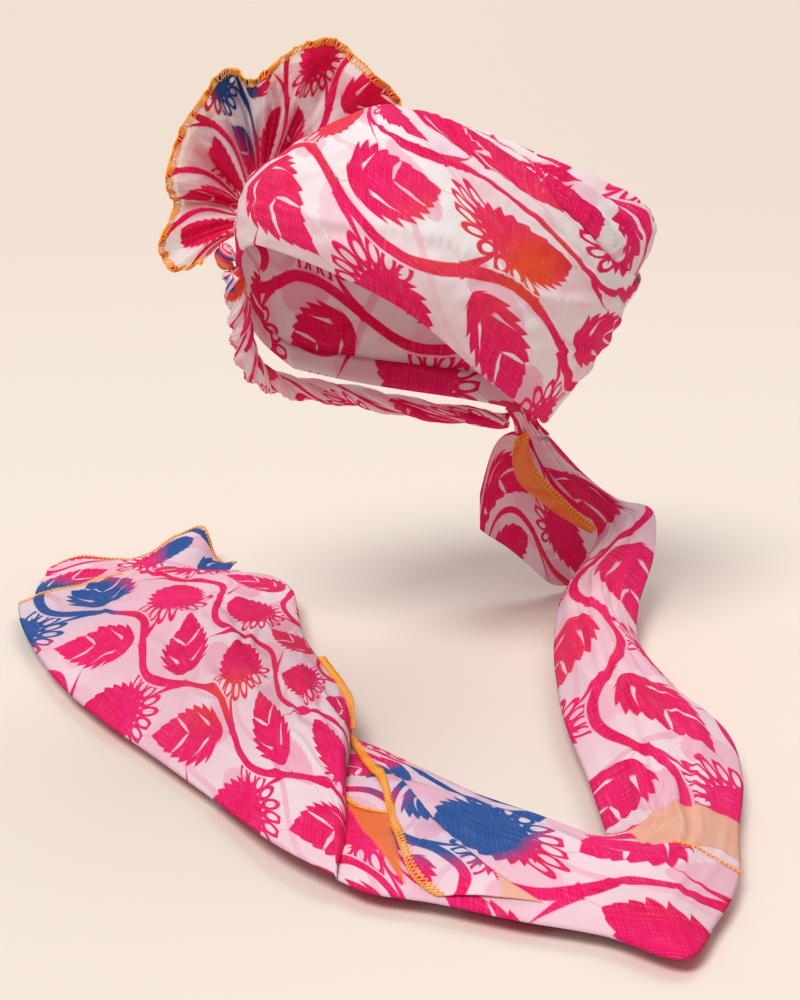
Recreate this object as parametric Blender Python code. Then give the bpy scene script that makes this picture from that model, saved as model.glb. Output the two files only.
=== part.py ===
# Safa turban: a pre-tied head wrap of printed voile with a ruffle and a long tail.
# Metres, +Z up. The origin is at the inside top of the crown, on the head's axis.
# The wearer faces -Y and the wearer's left is +X.

import math

import bmesh
import bpy
import numpy as np

# Main sizes
CROWN_ABOVE_FLOOR = 0.340
TAIL_TURN = math.radians(45.0)
CLOTH_WALL = 0.0012
FLAP_WALL = 0.0010
LAYER_STEP = 0.0024
TUCK_DEPTH = 0.0022

# Numbers of mesh steps
CROWN_STEPS_AROUND = 44
WRAP_STEPS_UP = 12
CAP_STEPS_UP = 10
FAN_STEPS_ALONG = 56
FAN_STEPS_OUT = 6
TWIST_STEPS_ALONG = 30
TWIST_STEPS_AROUND = 10
TAIL_STEPS_ACROSS = 12
RUN_STEPS_ALONG = 46
END_STEPS_ALONG = 20
FLAP_STEPS_LONG = 16
FLAP_STEPS_WIDE = 5
UNDER_STEPS_DOWN = 8
CRUMPLE_STEPS_LONG = 24
CRUMPLE_STEPS_WIDE = 6
FAN_BACK_STEPS_ALONG = 42
FOLD_SAMPLES = 40

# Crown sections round the head, turned from the front towards the wearer's left.
# Each point is its distance out from the head's axis and its height above the floor.
# turn, rim out, rim up, belly out, belly up, shoulder out, shoulder up, top out, top up
CROWN_SECTIONS = (
    (0, 0.0985, 0.270, 0.1020, 0.288, 0.0900, 0.310, 0.050, 0.331),
    (45, 0.0890, 0.243, 0.1040, 0.272, 0.0850, 0.315, 0.046, 0.338),
    (90, 0.0830, 0.190, 0.1060, 0.236, 0.0980, 0.296, 0.053, 0.330),
    (135, 0.0920, 0.153, 0.1320, 0.206, 0.1430, 0.270, 0.080, 0.313),
    (158, 0.1050, 0.143, 0.1420, 0.205, 0.1760, 0.268, 0.092, 0.306),
    (180, 0.1100, 0.142, 0.1380, 0.200, 0.1600, 0.262, 0.088, 0.303),
    (225, 0.0930, 0.152, 0.1160, 0.205, 0.1120, 0.262, 0.060, 0.303),
    (270, 0.0830, 0.172, 0.0930, 0.220, 0.0860, 0.275, 0.047, 0.306),
    (292, 0.0845, 0.196, 0.0890, 0.238, 0.0815, 0.284, 0.045, 0.311),
    (315, 0.0865, 0.227, 0.0870, 0.258, 0.0770, 0.292, 0.045, 0.315),
    (332, 0.0905, 0.256, 0.0915, 0.275, 0.0820, 0.301, 0.046, 0.323),
)
CROWN_PEAK_UP = 0.3425

# Upper edge of the brow panel: turn and share of the way from the rim to the peak
PANEL_EDGE = (
    (0, 0.78),
    (20, 0.88),
    (50, 0.92),
    (72, 0.87),
    (90, 0.72),
    (106, 0.50),
    (130, 0.38),
    (160, 0.36),
    (200, 0.40),
    (270, 0.46),
    (325, 0.52),
    (345, 0.60),
)
CAP_TUCK = 0.06

# Folds of the crown, each through three stations: turn round the head, share up.
# start turn, share, middle turn, share, end turn, share, height, half width
CROWN_FOLDS = (
    (80, 0.84, 104, 0.54, 130, 0.38, 0.0050, 0.008),
    (104, 0.80, 110, 0.57, 131, 0.41, 0.0055, 0.008),
    (122, 0.82, 124, 0.63, 137, 0.44, 0.0055, 0.009),
    (150, 0.84, 146, 0.62, 146, 0.46, 0.0045, 0.011),
    (-8, 0.42, 50, 0.62, 104, 0.40, 0.0022, 0.011),
    (-4, 0.20, 60, 0.34, 124, 0.22, 0.0018, 0.009),
)

# Part of a half wave over which a fold rises and falls along its length
FOLD_FADE = (0.08, 0.90)
CROWN_MIDDLE_UP = 0.22
CAP_TUCK_REACH = 1.6

# Hem of the ruffle from its right end round to the knot, then its gathered foot.
# side, near, up
FAN_HEM = (
    (0.010, -0.040, 0.333),
    (0.004, -0.034, 0.348),
    (-0.021, -0.030, 0.372),
    (-0.036, -0.022, 0.382),
    (-0.052, -0.012, 0.378),
    (-0.068, -0.002, 0.368),
    (-0.082, -0.008, 0.358),
    (-0.096, 0.010, 0.366),
    (-0.108, 0.002, 0.352),
    (-0.121, 0.012, 0.334),
    (-0.130, 0.004, 0.312),
    (-0.131, 0.018, 0.296),
    (-0.128, 0.008, 0.283),
    (-0.136, 0.026, 0.264),
    (-0.131, 0.030, 0.252),
    (-0.118, 0.024, 0.250),
    (-0.109, 0.036, 0.256),
)
FAN_FOOT = (
    (-0.0640, -0.0200, 0.2992),
    (-0.0730, -0.0180, 0.2963),
    (-0.0785, -0.0160, 0.2915),
    (-0.0858, -0.0140, 0.2840),
    (-0.0885, -0.0115, 0.2740),
    (-0.0912, -0.0020, 0.2655),
)
FAN_PLEATS = 9
FAN_PLEAT_DEPTH = 0.0055
FAN_PLEAT_GROWTH = 1.2
FAN_BOW = 0.0024
FAN_BACK_STEP = 0.010
FAN_BACK_FOOT_STEP = 0.0016
FAN_BACK_SHARE = 0.86
FAN_FRONT_SPAN = (0.0, 1.0, 0.08)
FAN_BACK_SPAN = (0.04, 0.80, 0.14)

# Twisted roll on the far side, from the knot to the nape
# turn round the head, distance out, height above the floor
TWIST_PATH = (
    (-30, 0.0955, 0.2470),
    (-38, 0.0905, 0.222),
    (-48, 0.0890, 0.200),
    (-66, 0.0890, 0.175),
    (-90, 0.0900, 0.158),
    (-120, 0.0940, 0.146),
    (-150, 0.1030, 0.134),
    (-178, 0.1130, 0.131),
)
TWIST_RADIUS = 0.0066
TWIST_LOBES = 3
TWIST_LOBE_DEPTH = 0.0016
TWIST_TURNS = 3.5
TWIST_END_SHARE = 0.55
TWIST_TAPER_START = 0.1

# Knot under the ruffle: side, near, up of its middle, and its half sizes
KNOT_MIDDLE = (-0.0966, 0.0202, 0.2560)
KNOT_HALF_WIDE = 0.0078
KNOT_HALF_TALL = 0.0058
KNOT_WRAPS = 3
KNOT_WRAP_DEPTH = 0.0013
KNOT_END_SHARE = 0.04
KNOT_ROUNDNESS = 0.7
KNOT_FLATNESS = 0.8
# How much of the knot's length runs along x, y and z, and how far its rings lean
KNOT_ALONG = (0.5, -0.2, 0.8)
KNOT_LEAN = 0.5
KNOT_STEPS_ALONG = 12
KNOT_STEPS_AROUND = 14

# Pinched bundle at the nape: share of the way down, side, near, up, radius
GATHER_SECTIONS = (
    (0.0, 0.0860, -0.0800, 0.1394, 0.0105),
    (0.4, 0.0890, -0.0840, 0.1310, 0.0080),
    (1.0, 0.0940, -0.0920, 0.1210, 0.0115),
)
GATHER_PLEATS = 7
GATHER_PLEAT_DEPTH = 0.0018
GATHER_FLATNESS = 0.7
GATHER_STEPS_DOWN = 9
GATHER_STEPS_AROUND = 21

# Tail sections from the nape to under the spread end.
# left side, near, up, right side, near, up, swell
TAIL_RUN = (
    (0.0925, -0.0965, 0.1198, 0.107, -0.100, 0.1145, 0.004),
    (0.101, -0.104, 0.098, 0.130, -0.110, 0.088, 0.005),
    (0.120, -0.106, 0.076, 0.152, -0.112, 0.071, 0.006),
    (0.139, -0.106, 0.050, 0.175, -0.108, 0.064, 0.007),
    (0.126, -0.084, 0.032, 0.174, -0.084, 0.040, 0.012),
    (0.111, -0.050, 0.018, 0.160, -0.030, 0.022, 0.017),
    (0.103, 0.030, 0.014, 0.156, 0.034, 0.016, 0.019),
    (0.101, 0.108, 0.013, 0.172, 0.112, 0.013, 0.018),
    (0.102, 0.172, 0.013, 0.192, 0.176, 0.012, 0.016),
    (0.108, 0.248, 0.013, 0.192, 0.250, 0.012, 0.013),
    (0.112, 0.312, 0.012, 0.181, 0.324, 0.012, 0.012),
    (0.112, 0.336, 0.014, 0.173, 0.388, 0.011, 0.014),
    (0.107, 0.346, 0.015, 0.156, 0.438, 0.010, 0.016),
    (0.097, 0.342, 0.015, 0.138, 0.474, 0.009, 0.017),
    (0.080, 0.322, 0.015, 0.104, 0.448, 0.009, 0.016),
    (0.053, 0.290, 0.015, 0.062, 0.430, 0.009, 0.015),
    (0.024, 0.250, 0.015, 0.024, 0.410, 0.009, 0.014),
    (-0.003, 0.208, 0.013, -0.006, 0.399, 0.009, 0.010),
    (-0.0185, 0.1885, 0.012, -0.0228, 0.382, 0.009, 0.0061),
)
TAIL_END = (
    (-0.023, 0.166, 0.0272, -0.0241, 0.384, 0.0124, 0.009),
    (-0.030, 0.130, 0.026, -0.056, 0.344, 0.013, 0.013),
    (-0.041, 0.078, 0.022, -0.092, 0.272, 0.009, 0.017),
    (-0.053, 0.016, 0.018, -0.130, 0.206, 0.009, 0.018),
    (-0.058, -0.040, 0.017, -0.162, 0.152, 0.009, 0.018),
    (-0.064, -0.088, 0.016, -0.190, 0.098, 0.009, 0.017),
    (-0.080, -0.122, 0.015, -0.214, 0.036, 0.009, 0.014),
    (-0.104, -0.136, 0.013, -0.234, -0.030, 0.009, 0.010),
    (-0.124, -0.140, 0.012, -0.243, -0.078, 0.009, 0.006),
)
FOLD_SHARE = 0.60
UNDER_STOP = 0.16
FOLD_GAP = 0.0055
FOLD_GAP_RISE = 5.0
FOLD_GAP_ROUNDNESS = 0.6
HUMP_ROUNDNESS = 0.8
FACING_LEAN = 0.35
FOLD_DRIFT = 0.05
FOLD_DRIFT_STEP = 9.0
FOLD_SWELL_SHARE = 0.4
BACK_STEPS = 6

# Long folds of the tail: where across it, height, half width, and waves along it
TAIL_FOLDS = (
    (0.22, 0.0035, 0.09, 1.6),
    (0.50, 0.0045, 0.11, 2.3),
    (0.78, 0.0030, 0.08, 1.1),
)

# Layer behind the hanging tail: side, height and near of its top, then of its foot
UNDER_LAYER = (
    (0.0610, 0.075, -0.113, 0.050, -0.116),
    (0.0690, 0.108, -0.1025, 0.043, -0.119),
    (0.0800, 0.120, -0.0978, 0.034, -0.122),
    (0.0950, 0.116, -0.1062, 0.021, -0.127),
    (0.1120, 0.096, -0.122, 0.006, -0.131),
    (0.1300, 0.078, -0.126, 0.004, -0.134),
    (0.1450, 0.060, -0.129, 0.004, -0.136),
)

UNDER_WAVE = 0.003
UNDER_WAVES = 160.0

# Orange border turned over beside the hanging tail.
# left side, left up, right side, right up, near
BORDER_FLAP = (
    (0.0820, 0.121, 0.0890, 0.127, -0.0798),
    (0.0790, 0.106, 0.0920, 0.112, -0.0820),
    (0.0830, 0.088, 0.0970, 0.099, -0.087),
    (0.0930, 0.079, 0.1070, 0.088, -0.090),
    (0.1040, 0.070, 0.1150, 0.079, -0.092),
    (0.1180, 0.060, 0.1240, 0.069, -0.093),
    (0.1330, 0.053, 0.1370, 0.057, -0.093),
)

# Turned-over strip on the floor part.
# left side, near, up, right side, near, up
CROSS_FLAP = (
    (-0.0210, 0.204, 0.0282, -0.0180, 0.203, 0.0287),
    (-0.0120, 0.248, 0.0283, -0.0020, 0.248, 0.0295),
    (-0.0020, 0.298, 0.0283, 0.0080, 0.292, 0.0301),
    (0.0040, 0.348, 0.0274, 0.0200, 0.336, 0.0299),
    (0.0120, 0.394, 0.0229, 0.0360, 0.380, 0.0269),
    (0.0260, 0.426, 0.0134, 0.0540, 0.418, 0.0159),
)

# Crumpled hem behind the far end: near edge and far edge.
# near side, near, up, far side, near, up
END_FOLD = (
    (-0.2360, -0.084, 0.0065, -0.2330, -0.172, 0.006),
    (-0.2160, -0.098, 0.0065, -0.2140, -0.180, 0.010),
    (-0.1930, -0.110, 0.0065, -0.1920, -0.190, 0.007),
    (-0.1700, -0.118, 0.0076, -0.1680, -0.188, 0.009),
    (-0.1540, -0.122, 0.0082, -0.1490, -0.200, 0.020),
    (-0.1380, -0.127, 0.0080, -0.1300, -0.202, 0.024),
    (-0.1240, -0.131, 0.0072, -0.1190, -0.182, 0.008),
    (-0.1120, -0.136, 0.0068, -0.1050, -0.172, 0.007),
)

END_FOLD_HUMP = 0.0025
BORDER_FLAP_HUMP = 0.002
CROSS_FLAP_HUMP = 0.001

# Colours: red, green, blue
VOILE_PINK = (0.90, 0.42, 0.56)
VOILE_WHITE = (0.93, 0.80, 0.84)
BORDER_ORANGE = (0.93, 0.42, 0.10)
CLOTH_ROUGHNESS = 0.75


def cubic(before, start, end, after, share):
    """Point between start and end on the smooth curve through four points."""
    slope_in = (end - before) * 0.5
    slope_out = (after - start) * 0.5
    a = share * share * (3.0 - 2.0 * share)
    b = share * (1.0 - share) ** 2
    c = share * share * (share - 1.0)
    return start + (end - start) * a + slope_in * b + slope_out * c


def along_rows(rows, places):
    """Smooth values of a table's columns; places run from 0 at its first row to 1."""
    rows = np.asarray(rows, float)
    last = len(rows) - 1
    position = np.clip(np.asarray(places, float), 0.0, 1.0) * last
    index = np.minimum(position.astype(int), last - 1)
    share = (position - index)[:, None]
    before = rows[np.maximum(index - 1, 0)]
    after = rows[np.minimum(index + 2, last)]
    return cubic(before, rows[index], rows[index + 1], after, share)


def round_rows(rows, turns):
    """Smooth values of a table whose first column is a turn in degrees, closed."""
    rows = np.asarray(rows, float)
    angles = rows[:, 0]
    count = len(rows)
    turns = np.mod(np.asarray(turns, float), 360.0)
    index = np.searchsorted(angles, turns, side="right") - 1
    following = (index + 1) % count
    width = np.mod(angles[following] - angles[index], 360.0)
    share = ((turns - angles[index]) / width)[:, None]
    values = rows[:, 1:]
    return cubic(
        values[index - 1],
        values[index],
        values[following],
        values[(index + 2) % count],
        share,
    )


def stage_points(side, near, up):
    """Turns side, near and height above the floor into the object's frame."""
    x = side * math.cos(TAIL_TURN) + near * math.sin(TAIL_TURN)
    y = side * math.sin(TAIL_TURN) - near * math.cos(TAIL_TURN)
    return np.stack(np.broadcast_arrays(x, y, up - CROWN_ABOVE_FLOOR), axis=-1)


def head_points(turn_degrees, out, up):
    """Turns a direction round the head, distance out and height into the frame."""
    turn = np.radians(turn_degrees)
    return np.stack(
        np.broadcast_arrays(
            out * np.sin(turn), -out * np.cos(turn), up - CROWN_ABOVE_FLOOR
        ),
        axis=-1,
    )


def grid_normals(grid, closed):
    """Unit normals of a grid of points; closed joins its last row to its first."""
    if closed:
        along = np.roll(grid, -1, axis=0) - np.roll(grid, 1, axis=0)
    else:
        along = np.gradient(grid, axis=0)
    across = np.gradient(grid, axis=1)
    normal = np.cross(along, across)
    length = np.linalg.norm(normal, axis=-1, keepdims=True)
    return normal / np.maximum(length, 1e-12)


def grid_faces(rows, columns, closed, start, flip):
    """Four-sided faces of a grid whose points are numbered from start."""
    faces = []
    for i in range(rows if closed else rows - 1):
        for j in range(columns - 1):
            a = start + i * columns + j
            b = start + i * columns + j + 1
            c = start + ((i + 1) % rows) * columns + j + 1
            d = start + ((i + 1) % rows) * columns + j
            faces.append((a, b, c, d) if flip else (a, d, c, b))
    return faces


def rim_faces(rows, columns, closed, top, bottom):
    """Faces that join the edges of the upper grid to those of the lower grid."""
    faces = []
    count = rows if closed else rows - 1
    for i in range(count):
        k = (i + 1) % rows
        for j, turned in ((0, False), (columns - 1, True)):
            a, b = top + i * columns + j, top + k * columns + j
            c, d = bottom + k * columns + j, bottom + i * columns + j
            faces.append((a, b, c, d) if not turned else (d, c, b, a))
    if not closed:
        for j in range(columns - 1):
            for i, turned in ((0, True), (rows - 1, False)):
                a, b = top + i * columns + j, top + i * columns + j + 1
                c, d = bottom + i * columns + j + 1, bottom + i * columns + j
                faces.append((a, b, c, d) if not turned else (d, c, b, a))
    return faces


def add_solid(name, points, faces, colour):
    """Makes one named solid with its own material and normals that face out."""
    mesh = bpy.data.meshes.new(name)
    mesh.from_pydata([tuple(p) for p in points], [], faces)
    body = bmesh.new()
    body.from_mesh(mesh)
    bmesh.ops.recalc_face_normals(body, faces=body.faces)
    bmesh.ops.triangulate(body, faces=body.faces)
    if body.calc_volume(signed=True) < 0.0:
        bmesh.ops.reverse_faces(body, faces=body.faces)
    body.to_mesh(mesh)
    body.free()
    mesh.polygons.foreach_set("use_smooth", [True] * len(mesh.polygons))
    material = bpy.data.materials.new(name)
    material.use_nodes = True
    shader = material.node_tree.nodes["Principled BSDF"]
    shader.inputs["Base Color"].default_value = (*colour, 1.0)
    shader.inputs["Roughness"].default_value = CLOTH_ROUGHNESS
    shader.inputs["Metallic"].default_value = 0.0
    mesh.materials.append(material)
    made = bpy.data.objects.new(name, mesh)
    bpy.context.scene.collection.objects.link(made)
    return made


def sheet_solid(name, grid, wall, colour, closed=False):
    """Thickens a grid of points to a wall and closes its edges."""
    rows, columns = grid.shape[:2]
    normal = grid_normals(grid, closed)
    upper = (grid + normal * wall / 2).reshape(-1, 3)
    lower = (grid - normal * wall / 2).reshape(-1, 3)
    second = rows * columns
    faces = grid_faces(rows, columns, closed, 0, False)
    faces += grid_faces(rows, columns, closed, second, True)
    faces += rim_faces(rows, columns, closed, 0, second)
    return add_solid(name, np.vstack([upper, lower]), faces, colour)


def cap_solid(name, grid, wall, colour):
    """Thickens a closed grid whose last column is one point at the peak."""
    rows, columns = grid.shape[:2]
    normal = grid_normals(grid, True)
    normal[:, -1] = (0.0, 0.0, 1.0)
    if normal[:, columns // 2, 2].sum() < 0:
        normal[:, :-1] *= -1
    upper = grid + normal * wall / 2
    lower = grid - normal * wall / 2
    points = []
    faces = []
    for side, flip in ((upper, False), (lower, True)):
        start = len(points)
        points += [tuple(p) for p in side[:, :-1].reshape(-1, 3)]
        pole = len(points)
        points.append(tuple(side[0, -1]))
        faces += grid_faces(rows, columns - 1, True, start, flip)
        for i in range(rows):
            a = start + i * (columns - 1) + columns - 2
            b = start + ((i + 1) % rows) * (columns - 1) + columns - 2
            faces.append((a, b, pole) if flip else (b, a, pole))
    second = rows * (columns - 1) + 1
    for i in range(rows):
        a = i * (columns - 1)
        b = ((i + 1) % rows) * (columns - 1)
        faces.append((a, b, second + b, second + a))
    return add_solid(name, points, faces, colour)


def tube_solid(name, rings, colour):
    """Closes a stack of rings of points to a solid with an end point at each end."""
    count, around = rings.shape[:2]
    points = [tuple(p) for p in rings.reshape(-1, 3)]
    faces = []
    for i in range(count - 1):
        for j in range(around):
            a = i * around + j
            b = i * around + (j + 1) % around
            faces.append((a, b, b + around, a + around))
    for i, turned in ((0, False), (count - 1, True)):
        middle = len(points)
        points.append(tuple(rings[i].mean(axis=0)))
        for j in range(around):
            a = i * around + j
            b = i * around + (j + 1) % around
            faces.append((a, b, middle) if turned else (b, a, middle))
    return add_solid(name, points, faces, colour)


def crown_surface(turns, shares):
    """Outer surface of the crown: shares run from the rim at 0 to the peak at 1."""
    values = round_rows(CROWN_SECTIONS, turns.ravel())
    knots = np.zeros((len(values), 5, 2))
    knots[:, 0:4] = values.reshape(-1, 4, 2)
    knots[:, 4] = (0.0, CROWN_PEAK_UP)
    mirrored = knots[:, 3] * (-1.0, 1.0)
    stack = np.concatenate([knots[:, :1], knots, mirrored[:, None]], axis=1)
    position = np.clip(shares.ravel(), 0.0, 1.0) * 4.0
    index = np.minimum(position.astype(int), 3)
    share = (position - index)[:, None]
    pick = np.arange(len(values))
    flat = cubic(
        stack[pick, index],
        stack[pick, index + 1],
        stack[pick, index + 2],
        stack[pick, index + 3],
        share,
    )
    points = head_points(turns.ravel(), flat[:, 0], flat[:, 1])
    return points.reshape(*turns.shape, 3)


def crown_folds(points):
    """How far the folds raise the crown at each point."""
    raised = np.zeros(points.shape[:-1])
    for fold in CROWN_FOLDS:
        stations = np.reshape(fold[0:6], (3, 2))
        line = along_rows(stations, np.linspace(0.0, 1.0, FOLD_SAMPLES))
        line = crown_surface(line[:, 0], line[:, 1])
        fade = np.sin(np.pi * np.linspace(*FOLD_FADE, FOLD_SAMPLES)) ** 0.5
        far = np.linalg.norm(points[..., None, :] - line, axis=-1)
        raised += fold[6] * (fade * np.exp(-((far / fold[7]) ** 2))).max(axis=-1)
    return raised


def crown_grid(turns, shares, step_out):
    """Crown surface with its folds, moved out by a step."""
    points = crown_surface(turns, shares)
    middle = np.array((0.0, 0.0, CROWN_MIDDLE_UP - CROWN_ABOVE_FLOOR))
    outward = points - middle
    outward /= np.linalg.norm(outward, axis=-1, keepdims=True)
    return points + outward * (crown_folds(points) + step_out)[..., None]


def build_brow_wrap():
    """The panel from the rim up to its own upper edge."""
    turns = np.linspace(0.0, 360.0, CROWN_STEPS_AROUND, endpoint=False)
    edge = round_rows(PANEL_EDGE, turns)[:, 0]
    up = np.linspace(0.0, 1.0, WRAP_STEPS_UP)
    shares = edge[:, None] * up[None, :]
    turns = np.broadcast_to(turns[:, None], shares.shape)
    step = np.full(shares.shape, LAYER_STEP)
    grid = crown_grid(turns, shares, step)
    return sheet_solid("brow_wrap", grid, CLOTH_WALL, VOILE_PINK, closed=True)


def build_crown_cap():
    """The cloth over the top, from under the panel's edge to the peak."""
    turns = np.linspace(0.0, 360.0, CROWN_STEPS_AROUND, endpoint=False)
    edge = round_rows(PANEL_EDGE, turns)[:, 0] - CAP_TUCK
    up = np.linspace(0.0, 1.0, CAP_STEPS_UP)
    shares = edge[:, None] + (1.0 - edge[:, None]) * up[None, :]
    turns = np.broadcast_to(turns[:, None], shares.shape)
    far = (shares - edge[:, None]) / (CAP_TUCK_REACH * CAP_TUCK)
    grid = crown_grid(turns, shares, -TUCK_DEPTH * np.clip(1.0 - far, 0.0, 1.0))
    grid[:, -1] = grid[:, -1].mean(axis=0)
    return cap_solid("crown_cap", grid, CLOTH_WALL, VOILE_WHITE)


def fan_grid(along, out, reach, back):
    """Ruffle: the hem's curve joined to the gathered foot, waved by its pleats.

    reach is the share of the way out to the hem; back is 0 for the front layer, 1 behind.
    """
    hem = along_rows(FAN_HEM, along.ravel()).reshape(*along.shape, 3)
    foot = along_rows(FAN_FOOT, along.ravel()).reshape(*along.shape, 3)
    place = foot + (hem - foot) * (out * reach)[..., None]
    wave = FAN_PLEAT_DEPTH * np.cos(2 * np.pi * FAN_PLEATS * along)
    place[..., 1] += wave * out ** FAN_PLEAT_GROWTH
    place[..., 1] -= back * (FAN_BACK_FOOT_STEP + (FAN_BACK_STEP - FAN_BACK_FOOT_STEP) * out)
    place[..., 2] += FAN_BOW * np.sin(np.pi * out)
    return stage_points(place[..., 0], place[..., 1], place[..., 2])


def build_fan_front():
    """Front layer of the ruffle, out to its hem."""
    start, end, foot = FAN_FRONT_SPAN
    along = np.linspace(start, end, FAN_STEPS_ALONG)
    out = np.linspace(foot, 1.0, FAN_STEPS_OUT)
    along, out = np.meshgrid(along, out, indexing="ij")
    return sheet_solid("fan_front", fan_grid(along, out, 1.0, 0.0), FLAP_WALL, VOILE_PINK)


def build_fan_back():
    """Second layer of the ruffle, a little shorter and set behind the first."""
    start, end, foot = FAN_BACK_SPAN
    along = np.linspace(start, end, FAN_BACK_STEPS_ALONG)
    out = np.linspace(foot, 1.0, FAN_STEPS_OUT - 1)
    along, out = np.meshgrid(along, out, indexing="ij")
    grid = fan_grid(along, out, FAN_BACK_SHARE, 1.0)
    return sheet_solid("fan_back", grid, FLAP_WALL, VOILE_WHITE)


def twist_rings(steps, around):
    """Rings of the twisted roll: lobes that turn as the roll goes along its path."""
    places = np.linspace(0.0, 1.0, steps)
    path = along_rows(TWIST_PATH, places)
    middle = head_points(path[:, 0], path[:, 1], path[:, 2])
    forward = np.gradient(middle, axis=0)
    forward /= np.linalg.norm(forward, axis=1, keepdims=True)
    outward = middle * (1.0, 1.0, 0.0)
    outward -= (outward * forward).sum(1, keepdims=True) * forward
    outward /= np.linalg.norm(outward, axis=1, keepdims=True)
    other = np.cross(forward, outward)
    angle = np.linspace(0.0, 2 * np.pi, around, endpoint=False)[None, :]
    spin = 2 * np.pi * TWIST_TURNS * places[:, None]
    swelled = np.clip(places * (1.0 - TWIST_TAPER_START) + TWIST_TAPER_START, 0.0, 1.0)
    taper = np.sin(np.pi * swelled) ** 0.5
    taper = TWIST_END_SHARE + (1.0 - TWIST_END_SHARE) * taper
    radius = TWIST_RADIUS * taper[:, None]
    radius = radius + TWIST_LOBE_DEPTH * np.cos(TWIST_LOBES * (angle - spin))
    ring = np.cos(angle)[..., None] * outward[:, None] * radius[..., None]
    ring = ring + np.sin(angle)[..., None] * other[:, None] * radius[..., None]
    return middle[:, None] + ring


def build_side_twist():
    """The twisted roll along the far edge."""
    rings = twist_rings(TWIST_STEPS_ALONG, TWIST_STEPS_AROUND)
    return tube_solid("side_twist", rings, VOILE_PINK)


def build_fan_knot():
    """The small knot: an oval bead with wraps round it."""
    middle = stage_points(*KNOT_MIDDLE)
    share = np.linspace(KNOT_END_SHARE, 1.0 - KNOT_END_SHARE, KNOT_STEPS_ALONG)[:, None]
    angle = np.linspace(0.0, 2 * np.pi, KNOT_STEPS_AROUND, endpoint=False)[None, :]
    long = -np.cos(np.pi * share) * KNOT_HALF_WIDE
    radius = np.sin(np.pi * share) ** KNOT_ROUNDNESS * KNOT_HALF_TALL
    radius = radius + KNOT_WRAP_DEPTH * np.sin(np.pi * share) * np.cos(
        2 * np.pi * KNOT_WRAPS * share + angle
    )
    x = long * KNOT_ALONG[0] + radius * np.cos(angle) * KNOT_FLATNESS
    y = long * KNOT_ALONG[1] + radius * np.sin(angle) * KNOT_FLATNESS
    z = long * KNOT_ALONG[2] - radius * np.cos(angle) * KNOT_LEAN
    return tube_solid("fan_knot", middle + np.stack([x, y, z], axis=-1), VOILE_PINK)


def build_nape_gather():
    """The pinched bundle with its pleats."""
    places = np.linspace(0.0, 1.0, GATHER_STEPS_DOWN)
    rows = along_rows(GATHER_SECTIONS, places)
    middle = stage_points(rows[:, 1], rows[:, 2], rows[:, 3])
    angle = np.linspace(0.0, 2 * np.pi, GATHER_STEPS_AROUND, endpoint=False)[None, :]
    radius = rows[:, 4:5] + GATHER_PLEAT_DEPTH * np.cos(GATHER_PLEATS * angle)
    narrow = radius * GATHER_FLATNESS
    ring = np.stack(
        [radius * np.cos(angle), narrow * np.sin(angle), 0.0 * radius], axis=-1
    )
    return tube_solid("nape_gather", middle[:, None] + ring, VOILE_PINK)


def folded_strip(rows, places, across):
    """A strip folded double: over the top from its left edge, round the right, back.

    across runs from 0 at the upper left edge over FOLD_SHARE at the fold to 1.
    """
    values = along_rows(rows, places)
    left = stage_points(values[:, 0], values[:, 1], values[:, 2])
    right = stage_points(values[:, 3], values[:, 4], values[:, 5])
    swell = values[:, 6]
    width = right - left
    along = np.gradient((left + right) / 2, axis=0)
    normal = np.cross(width, along)
    normal /= np.linalg.norm(normal, axis=1, keepdims=True)
    outside = normal @ np.array((FACING_LEAN, -FACING_LEAN, 1.0))
    normal *= np.sign(outside)[:, None]
    over = np.clip(across / FOLD_SHARE, 0.0, 1.0)
    back = np.clip((across - FOLD_SHARE) / (1.0 - FOLD_SHARE), 0.0, 1.0)
    stretch = np.where(across <= FOLD_SHARE, over, 1.0 - back * (1.0 - UNDER_STOP))
    hump = np.sin(np.pi * over) ** HUMP_ROUNDNESS
    lift = swell[:, None] * hump[None, :]
    for where, height, half, waves in TAIL_FOLDS:
        turn = 2 * np.pi * waves * places + FOLD_DRIFT_STEP * where
        drift = FOLD_DRIFT * np.sin(turn)
        far = (over[None, :] - where - drift[:, None]) / half
        size = np.minimum(height, swell * FOLD_SWELL_SHARE)[:, None]
        lift = lift + size * np.exp(-(far ** 2)) * hump[None, :]
    under = FOLD_GAP * np.clip(back * FOLD_GAP_RISE, 0.0, 1.0) ** FOLD_GAP_ROUNDNESS
    offset = np.where(across[None, :] <= FOLD_SHARE, lift, -under[None, :])
    base = left[:, None] + width[:, None] * stretch[None, :, None]
    return base + normal[:, None] * offset[..., None]


def build_tail_run():
    """The long tail from the nape, down, round the corner and along the floor."""
    places = np.linspace(0.0, 1.0, RUN_STEPS_ALONG)
    over = np.linspace(0.0, FOLD_SHARE, TAIL_STEPS_ACROSS - 4)
    back = np.linspace(FOLD_SHARE, 1.0, BACK_STEPS)[1:]
    grid = folded_strip(TAIL_RUN, places, np.concatenate([over, back]))
    return sheet_solid("tail_run", grid, CLOTH_WALL, VOILE_PINK)


def build_tail_end():
    """The spread end of the tail."""
    places = np.linspace(0.0, 1.0, END_STEPS_ALONG)
    over = np.linspace(0.0, FOLD_SHARE, TAIL_STEPS_ACROSS - 2)
    back = np.linspace(FOLD_SHARE, 1.0, BACK_STEPS)[1:]
    grid = folded_strip(TAIL_END, places, np.concatenate([over, back]))
    return sheet_solid("tail_end", grid, CLOTH_WALL, VOILE_PINK)


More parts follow.
